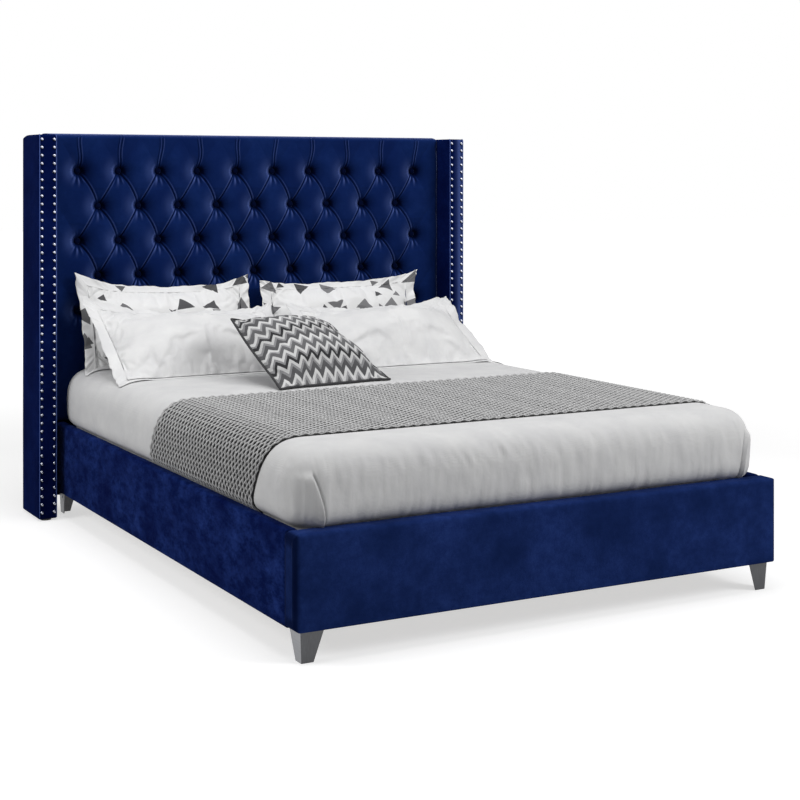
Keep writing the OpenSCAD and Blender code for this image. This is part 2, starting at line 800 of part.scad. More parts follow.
// A threaded stud on a wide pad, screwed up into the end of a centre leg
module levelling_foot(k) {
    neck_h = centre_leg_z - foot_pad_h - soft_gap;
    color(black_cloth) translate([0, centre_leg_ys[k], 0]) rotate_extrude() polygon([
        [0, 0], [foot_pad_r - 2, 0], [foot_pad_r, 2], [foot_pad_r, foot_pad_h - 5], [foot_pad_r - 5, foot_pad_h],
        [stud_r + 4, foot_pad_h], [stud_r + 4, foot_pad_h + neck_h], [stud_r, foot_pad_h + neck_h],
        [stud_r, centre_leg_z + stud_l], [0, centre_leg_z + stud_l]]);
}

module levelling_foot_foot() { levelling_foot(0); }
module levelling_foot_middle() { levelling_foot(1); }
module levelling_foot_head() { levelling_foot(2); }

module slats() {
    color(timber) difference() {
        for (k = [0 : slat_n - 1]) block([-slat_l / 2, slat_y(k) - slat_w / 2, ledger_top],
            [slat_l / 2, slat_y(k) + slat_w / 2, slat_top]);
        slat_screw_holes();
    }
}

module slat_webbing() {
    color(black_cloth) for (x = [-inner_w / 4, inner_w / 4])
        block([x - webbing_w / 2, slat_first_y - slat_w / 2, slat_top],
            [x + webbing_w / 2, slat_last_y + slat_w / 2, slat_top + webbing_t]);
}

module slat_screws() {
    color(steel) both_sides() for (k = [0 : slat_n - 1]) if (slat_is_screwed(k)) translate([slat_screw_x, slat_y(k), 0]) {
        translate([0, 0, slat_top - slat_screw_l]) cylinder(r = slat_screw_r, h = slat_screw_l);
        translate([0, 0, slat_top - slat_screw_head_h + 0.2]) cylinder(r = slat_screw_head_r, h = slat_screw_head_h - 0.4);
    }
}

// Mattress and bedding. A layer's side is a list of [distance outside the mattress, height], from low to high.
round_h = mattress_top - widest_z;
round_n = 2.3;
flat_x = mattress_w / 2 + mattress_bulge - mattress_round;

function edge_point(t, out) = [
    mattress_bulge + out - (mattress_round + out) * (1 - pow(cos(t), 2 / round_n)),
    widest_z + (round_h + out) * pow(sin(t), 2 / round_n)];
function side_list(low, out) = concat(
    [[out - mattress_tuck, low]],
    [for (f = [0, 0.35, 0.7]) [out - mattress_tuck + (mattress_tuck + mattress_bulge) * smooth(f),
        rail_top - 6 + (widest_z - rail_top + 6) * f]],
    [for (t = [0, 14, 28, 42, 56, 70, 81, 90]) edge_point(t, out)]);

// One closed ring round the mattress: four corner arcs, held back from the headboard
function ring(side, fold) =
    let(
        e = side[0],
        w = mattress_w / 2 + e,
        l = mattress_l / 2 + e,
        r = max(mattress_corner + e, 10),
        head_y = mattress_head_y + max(0, fold[1])
    )
    [for (c = [0 : 3], a = [0 : 22.5 : 90])
        let(
            right = c == 0 || c == 3,
            head = c < 2,
            turn = c * 90 + a,
            proud = !head && a == 45 && side[1] > rail_top - 10 && side[1] < rail_top + fold_h ? fold[0] : 0,
            x = (right ? w - r : r - w) + (r + proud) * cos(turn),
            y = mattress_mid_y + (head ? l - r : r - l) + (r + proud) * sin(turn)
        )
        [x, min(y, head_y), side[1]]];

// Faces of a stack of equal rings with both ends closed. The first few bands are split along the other diagonal.
function stack_faces(rings, n, turned) = concat(
    [[for (i = [0 : n - 1]) i]],
    [for (k = [0 : rings - 2], i = [0 : n - 1]) each let(a = k * n + i, b = k * n + (i + 1) % n)
        k < turned ? [[a, a + n, b], [b, a + n, b + n]] : [[a, a + n, b + n], [a, b + n, b]]],
    [[for (i = [n - 1 : -1 : 0]) (rings - 1) * n + i]]);

module stack(rings, turned = 0) {
    polyhedron(points = [for (r = rings) each r], faces = stack_faces(len(rings), len(rings[0]), turned));
}

module mattress() {
    low = [[-mattress_tuck - 14, mattress_z], [-mattress_tuck - 4, mattress_z + 4]];
    sides = concat(low, side_list(mattress_z + 14, 0));
    color(white_cotton) stack([for (s = sides) ring(s, [0, 0])]);
}

module coverlet() {
    hem = rail_top - coverlet_tuck;
    inner = side_list(hem, coverlet_in);
    outer = side_list(hem, coverlet_out);
    last = len(inner) - 1;
    color(grey_cotton) stack(concat(
        [for (k = [last : -1 : 0]) ring(inner[k], [0, coverlet_in])],
        [for (s = outer) ring(s, [fold_t, coverlet_out])]), last + 1);
}

// The throw's cross section, from one hem over the bed to the other. Its sides lie nearer the head than its middle.
function throw_ring(inner, outer, side, y0) = [
    [side * (mattress_w / 2 + inner[0]), y0, inner[1]],
    [side * (mattress_w / 2 + outer[0]), y0, outer[1]],
    [side * (mattress_w / 2 + outer[0]), y0 + throw_w, outer[1]],
    [side * (mattress_w / 2 + inner[0]), y0 + throw_w, inner[1]]];

module throw() {
    hem = rail_top - throw_tuck;
    inner = side_list(hem, throw_in);
    outer = side_list(hem, throw_out);
    last = len(inner) - 1;
    y0 = [for (s = outer) mattress_foot_y + throw_foot + throw_skew * (1 - smooth((s[1] - rail_top) / (mattress_top - rail_top)))];
    color(grey_knit) stack(concat(
        [for (k = [0 : last]) throw_ring(inner[k], outer[k], 1, y0[k])],
        [for (k = [last : -1 : 0]) throw_ring(inner[k], outer[k], -1, y0[k])]));
}

// Height at which pillows lie on the made-up bed at a place x across it. They bridge the rounded edges a little.
bed_top = mattress_top + coverlet_out;
edge_bridge = 4;
function bed_z(x) =
    let(
        past = (abs(x) - flat_x) / (mattress_round + coverlet_out),
        bridge = edge_bridge * smooth(1 + past * 2)
    )
    bridge + (past <= 0 ? bed_top :
    past >= 1 ? widest_z :
    widest_z + (round_h + coverlet_out) * pow(1 - pow(past, round_n), 1 / round_n));

// A cushion has a frame (foot, lean, turn), a size, a rise on each face, a flange and how far its edges draw in.
// Walls are planes that it lies flat against, each [a point, the direction it may lie in].
function front_of(frame) = [sin(frame[2]) * sin(frame[1]), -cos(frame[2]) * sin(frame[1]), cos(frame[1])];
function cushion_at(frame, x, up, out) =
    let(foot = frame[0], lean = frame[1], turn = frame[2])
    foot + x * [cos(turn), sin(turn), 0]
        + up * [-sin(turn) * cos(lean), cos(turn) * cos(lean), sin(lean)] + out * front_of(frame);
// The face turned away from a wall is kept one edge thickness further off
function held(p, walls, facing, k = 0) = k == len(walls) ? p :
    let(short = soft_gap + (facing * walls[k][1] > 0 ? edge_t : 0) + (walls[k][0] - p) * walls[k][1])
    held(short > 0 ? p + short * walls[k][1] : p, walls, facing, k + 1);
function on_bed(p, facing) = [p[0], p[1], max(p[2], bed_z(p[0]) + soft_gap + (facing[2] > 0 ? edge_t : 0))];

function cushion_point(frame, w, h, rise, flange, draw, walls, u, v, face) =
    let(
        x = w / 2 * u * (1 - draw[0] * (1 - v * v)),
        drawn = (v < 0 ? draw[1] : draw[2]) * (1 - pow(abs(u), 3)),
        up = h / 2 * (1 + v * (1 - drawn)),
        bu = min(1, abs(u) * w / (w - 2 * flange)),
        bv = min(1, abs(v) * h / (h - 2 * flange)),
        swell = pow((1 - pow(bu, 2.4)) * (1 - pow(bv, 2.4)), 0.55),
        out = face * (edge_t / 2 + rise * swell),
        facing = face * front_of(frame)
    )
    on_bed(held(cushion_at(frame, x, up, out), walls, facing), facing);

module cushion(frame, w, h, rises, flange, draw, walls) {
    nu = 14;
    nv = 10;
    us = [for (i = [0 : nu]) sin(90 * (2 * i / nu - 1))];
    vs = [for (j = [0 : nv]) sin(90 * (2 * j / nv - 1))];
    n = (nu + 1) * (nv + 1);
    front = [for (v = vs, u = us) cushion_point(frame, w, h, rises[0], flange, draw, walls, u, v, 1)];
    back = [for (v = vs, u = us) cushion_point(frame, w, h, rises[1], flange, draw, walls, u, v, -1)];
    rim = concat([for (i = [0 : nu]) i], [for (j = [1 : nv]) j * (nu + 1) + nu],
        [for (i = [nu - 1 : -1 : 0]) nv * (nu + 1) + i], [for (j = [nv - 1 : -1 : 1]) j * (nu + 1)]);
    m = len(rim);
    polyhedron(points = concat(front, back), faces = concat(
        [for (j = [0 : nv - 1], i = [0 : nu - 1]) each grid_cell(j * (nu + 1) + i, nu + 1, 0)],
        [for (j = [0 : nv - 1], i = [0 : nu - 1]) each
            [for (f = grid_cell(n + j * (nu + 1) + i, nu + 1, 0)) [f[2], f[1], f[0]]]],
        [for (k = [0 : m - 1]) each let(a = rim[k], b = rim[(k + 1) % m]) [[a, n + b, n + a], [a, b, n + b]]]));
}

// Shams lean on the headboard, white pillows on the shams and on the bed
sham_left_x = -sham_w / 2 - 51;
sham_right_x = sham_w / 2 - 28;
pillow_left_x = -pillow_w / 2 - 5;
pillow_right_x = pillow_w / 2 - 2;
cushion_x = -122;
pillow_drop = 38;
sham_drop = 46;
sham_front = [0, -sin(sham_tilt), cos(sham_tilt)];
sham_foot = [0, puff_y - sham_back, bed_top - sham_drop];
sham_wall = sham_foot + (sham_crown - 4) * sham_front;
pillow_front = [0, -sin(pillow_tilt), cos(pillow_tilt)];
headboard_wall = [[0, puff_y - 2, 0], [0, -1, 0]];
sham_draw = [0.04, 0.26, 0.3];
pillow_draw = [0.04, 0.14, 0.2];
cushion_draw = [0.07, 0.07, 0.07];
cushion_turn = 7;

module sham(x) {
    cushion([sham_foot + [x, 0, 0], sham_tilt, 0], sham_w, sham_h, [sham_crown, sham_crown], flange_w, sham_draw,
        [headboard_wall, [sham_wall, -sham_front]]);
}

module pillow(x, back) {
    foot = [x, puff_y - back, bed_top - pillow_drop];
    cushion([foot, pillow_tilt, 0], pillow_w, pillow_h, [pillow_crown, pillow_under], flange_w, pillow_draw,
        [[sham_wall, sham_front], [foot + pillow_crown * pillow_front, -pillow_front]]);
}

module sham_left() { color(white_cotton) sham(sham_left_x); }
module sham_right() { color(white_cotton) sham(sham_right_x); }
module pillow_left() { color(white_cotton) pillow(pillow_left_x, pillow_left_back); }
module pillow_right() { color(white_cotton) pillow(pillow_right_x, pillow_right_back); }

module zigzag_cushion() {
    foot = [cushion_x, puff_y - cushion_back, bed_top];
    left = [pillow_left_x, puff_y - pillow_left_back, bed_top - pillow_drop] + pillow_crown * pillow_front;
    right = [pillow_right_x, puff_y - pillow_right_back, bed_top - pillow_drop] + pillow_crown * pillow_front;
    color(grey_knit) cushion([foot, cushion_tilt, cushion_turn], cushion_w, cushion_w,
        [cushion_crown, cushion_crown], 0, cushion_draw, [[left, pillow_front], [right, pillow_front]]);
}

headboard_posts();
headboard_cross_rails();
headboard_backing_board();
headboard_tufted_pad();
tufting_buttons();
headboard_top_roll();
headboard_lower_cover();
headboard_back_cover();
wing_left_frame();
wing_right_frame();
wing_left_cover();
wing_right_cover();
wing_left_nailheads();
wing_right_nailheads();
wing_glides();
wing_bolts();
rail_left_board();
rail_right_board();
rail_left_cover();
rail_right_cover();
rail_left_ledger();
rail_right_ledger();
footboard_board();
footboard_cover();
corner_brackets();
bracket_bolts();
leg_front_left();
leg_front_right();
leg_rear_left();
leg_rear_right();
leg_bolts();
centre_beam();
beam_brackets();
centre_leg_foot();
centre_leg_middle();
centre_leg_head();
levelling_foot_foot();
levelling_foot_middle();
levelling_foot_head();
slats();
slat_webbing();
slat_screws();
mattress();
coverlet();
throw();
sham_left();
sham_right();
pillow_left();
pillow_right();
zigzag_cushion();
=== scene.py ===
# Upholstered wingback bed, made up for the night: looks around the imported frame.
# Metres, +Z up, the head of the bed at +Y, the floor at Z 0.
import math

import bpy
import numpy as np
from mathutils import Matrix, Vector, noise


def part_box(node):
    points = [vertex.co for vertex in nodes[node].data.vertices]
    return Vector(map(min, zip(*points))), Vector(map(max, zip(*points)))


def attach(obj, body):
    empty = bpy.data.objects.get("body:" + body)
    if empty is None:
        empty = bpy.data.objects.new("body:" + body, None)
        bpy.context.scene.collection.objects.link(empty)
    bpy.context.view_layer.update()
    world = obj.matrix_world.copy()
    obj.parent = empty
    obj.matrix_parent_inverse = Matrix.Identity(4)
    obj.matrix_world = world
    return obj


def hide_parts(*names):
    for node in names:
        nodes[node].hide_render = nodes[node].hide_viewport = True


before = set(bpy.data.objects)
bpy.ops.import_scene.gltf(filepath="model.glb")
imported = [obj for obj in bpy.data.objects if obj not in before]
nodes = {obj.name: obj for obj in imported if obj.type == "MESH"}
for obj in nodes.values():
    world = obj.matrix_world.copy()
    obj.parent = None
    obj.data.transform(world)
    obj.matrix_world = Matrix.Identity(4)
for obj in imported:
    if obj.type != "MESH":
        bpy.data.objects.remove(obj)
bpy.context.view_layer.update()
scene = bpy.context.scene
scene.view_settings.view_transform = "Standard"
print("frame loaded:", len(nodes), "parts")

# Camera, floor and studio light
studio = dict(
    cameraAt=(-2.548, -4.8546, 1.275), cameraTurn=-28.68, lens=71.7, shiftDown=-0.2826,
    floorSize=60.0, floorColour="#c4c4c4", floorLift=(0.60, 1.0), floorFade=(2.6, 6.0),
    skyLevel=0.22,
    lamps=[
        # name, place, aimed at, width, watts
        ("softboxRight", (3.2, -4.2, 3.6), (0.0, 0.0, 0.5), 2.4, 150),
        ("softboxAbove", (-0.3, -0.6, 4.6), (0.0, 0.0, 0.4), 3.0, 105),
        ("softboxLeft", (-3.5, 0.35, 2.2), (-0.7, -0.1, 0.5), 1.5, 46),
    ],
)


def linearColour(hexText):
    parts = [int(hexText[i:i + 2], 16) / 255 for i in (1, 3, 5)]
    return tuple(c / 12.92 if c <= 0.04045 else ((c + 0.055) / 1.055) ** 2.4 for c in parts) + (1.0,)


def addNode(tree, kind, inputs=None, stops=(), hard=False, **settings):
    # An input is a socket, a node whose first output is meant, or a plain value; stops are those of a ramp
    node = tree.nodes.new(kind)
    for name, value in settings.items():
        setattr(node, name, value)
    for key, value in (inputs or {}).items():
        if isinstance(value, bpy.types.Node):
            value = value.outputs[0]
        if isinstance(value, bpy.types.NodeSocket):
            tree.links.new(value, node.inputs[key])
        else:
            node.inputs[key].default_value = value
    if stops:
        band = node.color_ramp
        band.interpolation = "CONSTANT" if hard else "LINEAR"
        while len(band.elements) < len(stops):
            band.elements.new(0.5)
        for element, (at, colour) in zip(band.elements, stops):
            element.position = at
            element.color = linearColour(colour) if isinstance(colour, str) else (colour, colour, colour, 1)
    return node


def newMaterial(name):
    material = bpy.data.materials.new(name)
    material.use_nodes = True
    material.node_tree.nodes.clear()
    return material, material.node_tree


def addObject(name, data):
    thing = bpy.data.objects.new(name, data)
    scene.collection.objects.link(thing)
    return thing


def setCamera():
    data = bpy.data.cameras.new("photoCamera")
    data.lens, data.shift_y, data.clip_end = studio["lens"], studio["shiftDown"], 100
    camera = addObject("photoCamera", data)
    camera.location = studio["cameraAt"]
    camera.rotation_euler = (math.radians(90), 0, math.radians(studio["cameraTurn"]))
    scene.camera = camera


def seenRays(tree):
    # What the camera, gloss and clear surfaces see of the background
    rays = addNode(tree, "ShaderNodeLightPath").outputs
    some = addNode(tree, "ShaderNodeMath", {0: rays["Is Camera Ray"], 1: rays["Is Glossy Ray"]},
                   operation="MAXIMUM")
    return addNode(tree, "ShaderNodeMath", {0: some, 1: rays["Is Transmission Ray"]}, operation="MAXIMUM")


def setSky():
    world = bpy.data.worlds.new("studioWorld")
    scene.world = world
    world.use_nodes = True
    tree = world.node_tree
    tree.nodes.clear()
    soft, white = [addNode(tree, "ShaderNodeBackground", {"Color": (level, level, level, 1), "Strength": 1.0})
                   for level in (studio["skyLevel"], 1)]
    mix = addNode(tree, "ShaderNodeMixShader", {0: seenRays(tree), 1: soft, 2: white})
    addNode(tree, "ShaderNodeOutputWorld", {"Surface": mix})


def setFloor():
    # Matt paper that fades into the white behind it
    paper, tree = newMaterial("white_studio_floor")
    matt = addNode(tree, "ShaderNodeBsdfDiffuse", {"Color": linearColour(studio["floorColour"])})
    spot = addNode(tree, "ShaderNodeTexCoord").outputs["Object"]
    away = addNode(tree, "ShaderNodeVectorMath", {0: spot}, operation="LENGTH").outputs["Value"]
    (near, far), (low, high) = studio["floorFade"], studio["floorLift"]
    level = addNode(tree, "ShaderNodeMapRange", {"Value": away, "From Min": near, "From Max": far,
                                                 "To Min": low, "To Max": high})
    lift = addNode(tree, "ShaderNodeMath", {0: seenRays(tree), 1: level}, operation="MULTIPLY")
    glow = addNode(tree, "ShaderNodeEmission", {"Color": (1, 1, 1, 1), "Strength": lift})
    both = addNode(tree, "ShaderNodeAddShader", {0: matt, 1: glow})
    addNode(tree, "ShaderNodeOutputMaterial", {"Surface": both})
    half = studio["floorSize"] / 2
    mesh = bpy.data.meshes.new("studioFloor")
    mesh.from_pydata([(-half, -half, 0), (half, -half, 0), (half, half, 0), (-half, half, 0)], [], [(0, 1, 2, 3)])
    mesh.materials.append(paper)
    addObject("studioFloor", mesh)


def setLamps():
    for name, place, target, width, watts in studio["lamps"]:
        data = bpy.data.lights.new(name, "AREA")
        data.shape, data.size, data.energy = "SQUARE", width, watts
        lamp = addObject(name, data)
        lamp.location = place
        lamp.rotation_euler = (Vector(target) - Vector(place)).to_track_quat("-Z", "Y").to_euler()


setCamera()
setSky()
setFloor()
setLamps()
print("camera and studio set")


# Materials. Sizes inside them are in metres on Object coordinates, or on a piece's own UV map in metres.
waveSize = 0.31  # metres from crest to crest of a wave texture at scale 1


def placeOf(tree, stretch=(1, 1, 1), uvMap=None):
    if uvMap:
        source = addNode(tree, "ShaderNodeUVMap", uv_map=uvMap)
    else:
        source = addNode(tree, "ShaderNodeTexCoord").outputs["Object"]
    return addNode(tree, "ShaderNodeMapping", {"Vector": source, "Scale": stretch})


def patches(tree, size, detail=3.0, roughness=0.55, stretch=(1, 1, 1), uvMap=None):
    # Soft random patches of a size in metres
    return addNode(tree, "ShaderNodeTexNoise", {
        "Vector": placeOf(tree, stretch, uvMap), "Scale": 1 / size, "Detail": detail, "Roughness": roughness})


def finishMaterial(material, inputs, relief):
    # The shader, over layers of relief that are each a height and its depth in metres
    tree = material.node_tree
    normal = {}
    for height, depth in relief:
        bump = addNode(tree, "ShaderNodeBump", {"Height": height, "Distance": depth, "Strength": 1.0, **normal})
        normal = {"Normal": bump}
    shader = addNode(tree, "ShaderNodeBsdfPrincipled", {**inputs, **normal})
    addNode(tree, "ShaderNodeOutputMaterial", {"Surface": shader})
    return material


velvetLook = dict(
    roughness=0.75, sheenRoughness=0.30, sheenTint="#9fb2f4",
    cloud=0.17, blotch=0.034, fibre=0.0022,  # fibre drawn at 2.2 mm, as coarse as it needs to show
    blotchDepth=0.003, fibreDepth=0.0004,
)


def velvet(name, deep, body, lifted, marked, sheen, stretch=(1, 1, 1), paintedLight=None):
    # Short-pile velvet: deep and soft, with paler marks where the pile has been brushed the other way
    look = velvetLook
    material, tree = newMaterial(name)
    cloud = patches(tree, look["cloud"], 2.0)
    blotch = patches(tree, look["blotch"], 9.0, 0.78, stretch)
    base = addNode(tree, "ShaderNodeValToRGB", {"Fac": cloud}, [(0.3, deep), (0.7, body)])
    spread = addNode(tree, "ShaderNodeValToRGB", {"Fac": cloud}, [(0.35, 0.25), (0.65, 1.0)])
    marks = addNode(tree, "ShaderNodeValToRGB", {"Fac": blotch}, [(0.42, 0.0), (0.66, marked)])
    layers = [(addNode(tree, "ShaderNodeMath", {0: marks, 1: spread}, operation="MULTIPLY"), lifted)]
    if paintedLight:  # above 0.5 mixes toward a painted highlight tone, below it toward a painted shade tone
        value = addNode(tree, "ShaderNodeAttribute", attribute_name="paintedLightShade").outputs["Fac"]
        for first, second, tone in ((value, 0.5, paintedLight[0]), (0.5, value, paintedLight[1])):
            past = addNode(tree, "ShaderNodeMath", {0: first, 1: second}, operation="SUBTRACT")
            layers.append((addNode(tree, "ShaderNodeMath", {0: past, 1: 2.0}, operation="MULTIPLY",
                                   use_clamp=True), tone))
    colour = base.outputs[0]
    for amount, tone in layers:  # sockets 0, 6 and 7 of a mix are its factor and its two colours
        colour = addNode(tree, "ShaderNodeMix", {0: amount, 6: colour, 7: linearColour(tone)},
                         data_type="RGBA").outputs[2]
    return finishMaterial(material, {
        "Base Color": colour, "Roughness": look["roughness"], "IOR": 1.45, "Specular IOR Level": 0.0,
        "Sheen Weight": sheen, "Sheen Roughness": look["sheenRoughness"],
        "Sheen Tint": linearColour(look["sheenTint"]),
    }, [(patches(tree, look["fibre"], 2.0), look["fibreDepth"]), (blotch, look["blotchDepth"] * marked)])


def cotton(name, colour, shade, threads=0.0024, rumple=0.0014, uvMap=None):
    # Plain woven cotton: matt, even, with a faint thread grid, drawn at 2.4 mm so that it shows
    material, tree = newMaterial(name)
    place = placeOf(tree, uvMap=uvMap)
    base = addNode(tree, "ShaderNodeValToRGB", {"Fac": patches(tree, 0.09)}, [(0.3, shade), (0.7, colour)])
    across, along = [addNode(tree, "ShaderNodeTexWave", {"Vector": place, "Scale": waveSize / threads,
                                                         "Distortion": 0.6}, bands_direction=way).outputs["Fac"]
                     for way in "XY"]
    weave = addNode(tree, "ShaderNodeMath", {0: across, 1: along}, operation="ADD")
    return finishMaterial(material, {
        "Base Color": base, "Roughness": 0.88, "Specular IOR Level": 0.2, "Sheen Weight": 0.15,
    }, [(weave, 0.00012), (patches(tree, 0.035), rumple)])


def grainy(name, colour, shade, size, depth, inputs, detail=3.0):
    # A matt material whose two tones and relief follow one fine grain
    material, tree = newMaterial(name)
    grain = patches(tree, size, detail)
    base = addNode(tree, "ShaderNodeValToRGB", {"Fac": grain}, [(0.3, shade), (0.7, colour)])
    return finishMaterial(material, {"Base Color": base, **inputs}, [(grain, depth)])


def bareCloth(name, colour, shade, size=0.002):
    # Spun or knitted cloth with a matt, broken surface
    return grainy(name, colour, shade, size, size * 0.4, {"Roughness": 0.92})


def mouldedNylon():
    # Moulded nylon: black, half matt, with a fine spark-eroded grain
    return grainy("moulded_black_nylon", "#1c1c1f", "#101012", 0.0012, 0.0001, {"Roughness": 0.5}, 2.0)


def pineWood():
    # Sawn pine: pale yellow boards with long darker growth lines
    material, tree = newMaterial("sawn_pine")
    lines = addNode(tree, "ShaderNodeTexWave", {
        "Vector": placeOf(tree), "Scale": 9.0, "Distortion": 7.0, "Detail": 3.0, "Detail Scale": 1.2},
        bands_direction="DIAGONAL").outputs["Fac"]
    fine = patches(tree, 0.006, 4.0)
    base = addNode(tree, "ShaderNodeValToRGB", {"Fac": lines},
                   [(0.1, "#d8b98a"), (0.6, "#cba873"), (0.95, "#a97f4c")])
    fibres = addNode(tree, "ShaderNodeValToRGB", {"Fac": fine}, [(0.3, "#b08a58"), (0.7, "#e2c79c")])
    colour = addNode(tree, "ShaderNodeMix", {0: 0.25, 6: base, 7: fibres}, data_type="RGBA").outputs[2]
    return finishMaterial(material, {"Base Color": colour, "Roughness": 0.68}, [(fine, 0.0004)])


def platedSteel(name, dark, pale, roughLow, roughHigh, brush=(1, 1, 1), size=0.01, lift=0.0001, paintedDarkSide=None):
    # Steel with a plated or brushed face: the brush marks spread the gloss one way
    material, tree = newMaterial(name)
    marks = patches(tree, size, 4.0, stretch=brush)
    colour = addNode(tree, "ShaderNodeValToRGB", {"Fac": marks}, [(0.2, dark), (0.8, pale)]).outputs[0]
    if paintedDarkSide:  # painted dark reflection on the lower left side of each head, by its normal
        way, start, full, darkReflection = paintedDarkSide
        side = addNode(tree, "ShaderNodeTexCoord").outputs["Normal"]
        turned = addNode(tree, "ShaderNodeVectorMath", {0: side, 1: way}, operation="DOT_PRODUCT").outputs["Value"]
        amount = addNode(tree, "ShaderNodeMapRange", {"Value": turned, "From Min": start, "From Max": full})
        colour = addNode(tree, "ShaderNodeMix", {0: amount, 6: colour, 7: linearColour(darkReflection)},
                         data_type="RGBA").outputs[2]
    rough = addNode(tree, "ShaderNodeMapRange", {"Value": marks, "To Min": roughLow, "To Max": roughHigh})
    return finishMaterial(material, {"Base Color": colour, "Roughness": rough, "Metallic": 1.0}, [(marks, lift)])


def mattressTicking():
    # Woven ticking: white with a soft grey stripe every 22 mm
    material, tree = newMaterial("woven_mattress_ticking")
    stripe = addNode(tree, "ShaderNodeTexWave", {"Vector": placeOf(tree), "Scale": waveSize / 0.022 / 2},
                     bands_direction="X").outputs["Fac"]
    base = addNode(tree, "ShaderNodeValToRGB", {"Fac": stripe},
                   [(0.55, "#e9e9e8"), (0.7, "#c9cbd0"), (0.85, "#e9e9e8")])
    return finishMaterial(material, {"Base Color": base, "Roughness": 0.85}, [(patches(tree, 0.05, 2.0), 0.003)])


printLook = dict(
    ground="#e3e3e3", greys=["#666668", "#7c7c7e", "#6e6e70", "#525254"], jitter=0.25, inner=0.62,
    scatters=[
        # cell, size within the cell, shift, share of the cells that hold a triangle
        (0.132, 0.29, 0.03, 0.66),
        (0.088, 0.22, 0.41, 0.34),
    ],
    sides=((0.0, -1.25, 0.0), (0.95, 0.42, 0.0), (-0.8, 0.6, 0.0)),
)


def triangleLayer(tree, uvMap, cell, size, shift, share):
    # One loose scatter of triangles: a jittered, turned triangle in a share of the cells
    cloth = addNode(tree, "ShaderNodeUVMap", uv_map=uvMap)
    spot = addNode(tree, "ShaderNodeVectorMath", {0: cloth, 1: (shift, shift * 0.6, 0)}, operation="ADD")
    scaled = addNode(tree, "ShaderNodeVectorMath", {0: spot, "Scale": 1 / cell}, operation="SCALE")
    place, within = [addNode(tree, "ShaderNodeVectorMath", {0: scaled}, operation=part)
                     for part in ("FLOOR", "FRACTION")]
    dice = addNode(tree, "ShaderNodeTexWhiteNoise", {"Vector": place}, noise_dimensions="3D").outputs
    centred, offset = [addNode(tree, "ShaderNodeVectorMath", {0: value, 1: middle}, operation="SUBTRACT")
                       for value, middle in ((within, (0.5, 0.5, 0)), (dice["Color"], (0.5, 0.5, 0.5)))]
    jitter = addNode(tree, "ShaderNodeVectorMath", {0: offset, "Scale": printLook["jitter"]}, operation="SCALE")
    placed = addNode(tree, "ShaderNodeVectorMath", {0: centred, 1: jitter}, operation="SUBTRACT")
    angle = addNode(tree, "ShaderNodeMath", {0: dice["Value"], 1: 2 * math.pi}, operation="MULTIPLY")
    turned = addNode(tree, "ShaderNodeVectorRotate", {"Vector": placed, "Angle": angle}, rotation_type="Z_AXIS")
    far, *others = [addNode(tree, "ShaderNodeVectorMath", {0: turned, 1: side}, operation="DOT_PRODUCT")
                    .outputs["Value"] for side in printLook["sides"]]
    for other in others:
        far = addNode(tree, "ShaderNodeMath", {0: far, 1: other}, operation="MAXIMUM").outputs[0]
    inside = addNode(tree, "ShaderNodeMath", {0: far, 1: size * printLook["inner"]}, operation="LESS_THAN")
    split = addNode(tree, "ShaderNodeSeparateColor", {"Color": dice["Color"]}).outputs
    drawn = addNode(tree, "ShaderNodeMath", {0: split[2], 1: share}, operation="LESS_THAN")
    cover = addNode(tree, "ShaderNodeMath", {0: inside, 1: drawn}, operation="MULTIPLY")
    return cover, split[1]


def printedCotton(uvMap):
    # White cotton printed with loose grey triangles of a generic scatter
    material, tree = newMaterial("printed_triangle_cotton")
    greys = [(k / len(printLook["greys"]), grey) for k, grey in enumerate(printLook["greys"])]
    colour = linearColour(printLook["ground"])
    for scatter in printLook["scatters"]:
        cover, tone = triangleLayer(tree, uvMap, *scatter)
        grey = addNode(tree, "ShaderNodeValToRGB", {"Fac": tone}, greys, hard=True)
        colour = addNode(tree, "ShaderNodeMix", {0: cover, 6: colour, 7: grey}, data_type="RGBA").outputs[2]
    return finishMaterial(material, {"Base Color": colour, "Roughness": 0.88, "Specular IOR Level": 0.2},
                          [(patches(tree, 0.03), 0.0012)])


zigzagLook = dict(across=0.043, rise=0.033, repeat=0.156, fleck=0.003, rib=0.003,
                  bands=[(0.0, "#333335"), (0.11, "#8c8c8e"), (0.19, "#cecece"), (0.30, "#69696b"), (0.45, "#a2a2a4"),
                         (0.53, "#d4d4d4"), (0.64, "#5a5a5c"), (0.80, "#8c8c8e"), (0.89, "#c4c4c4")])


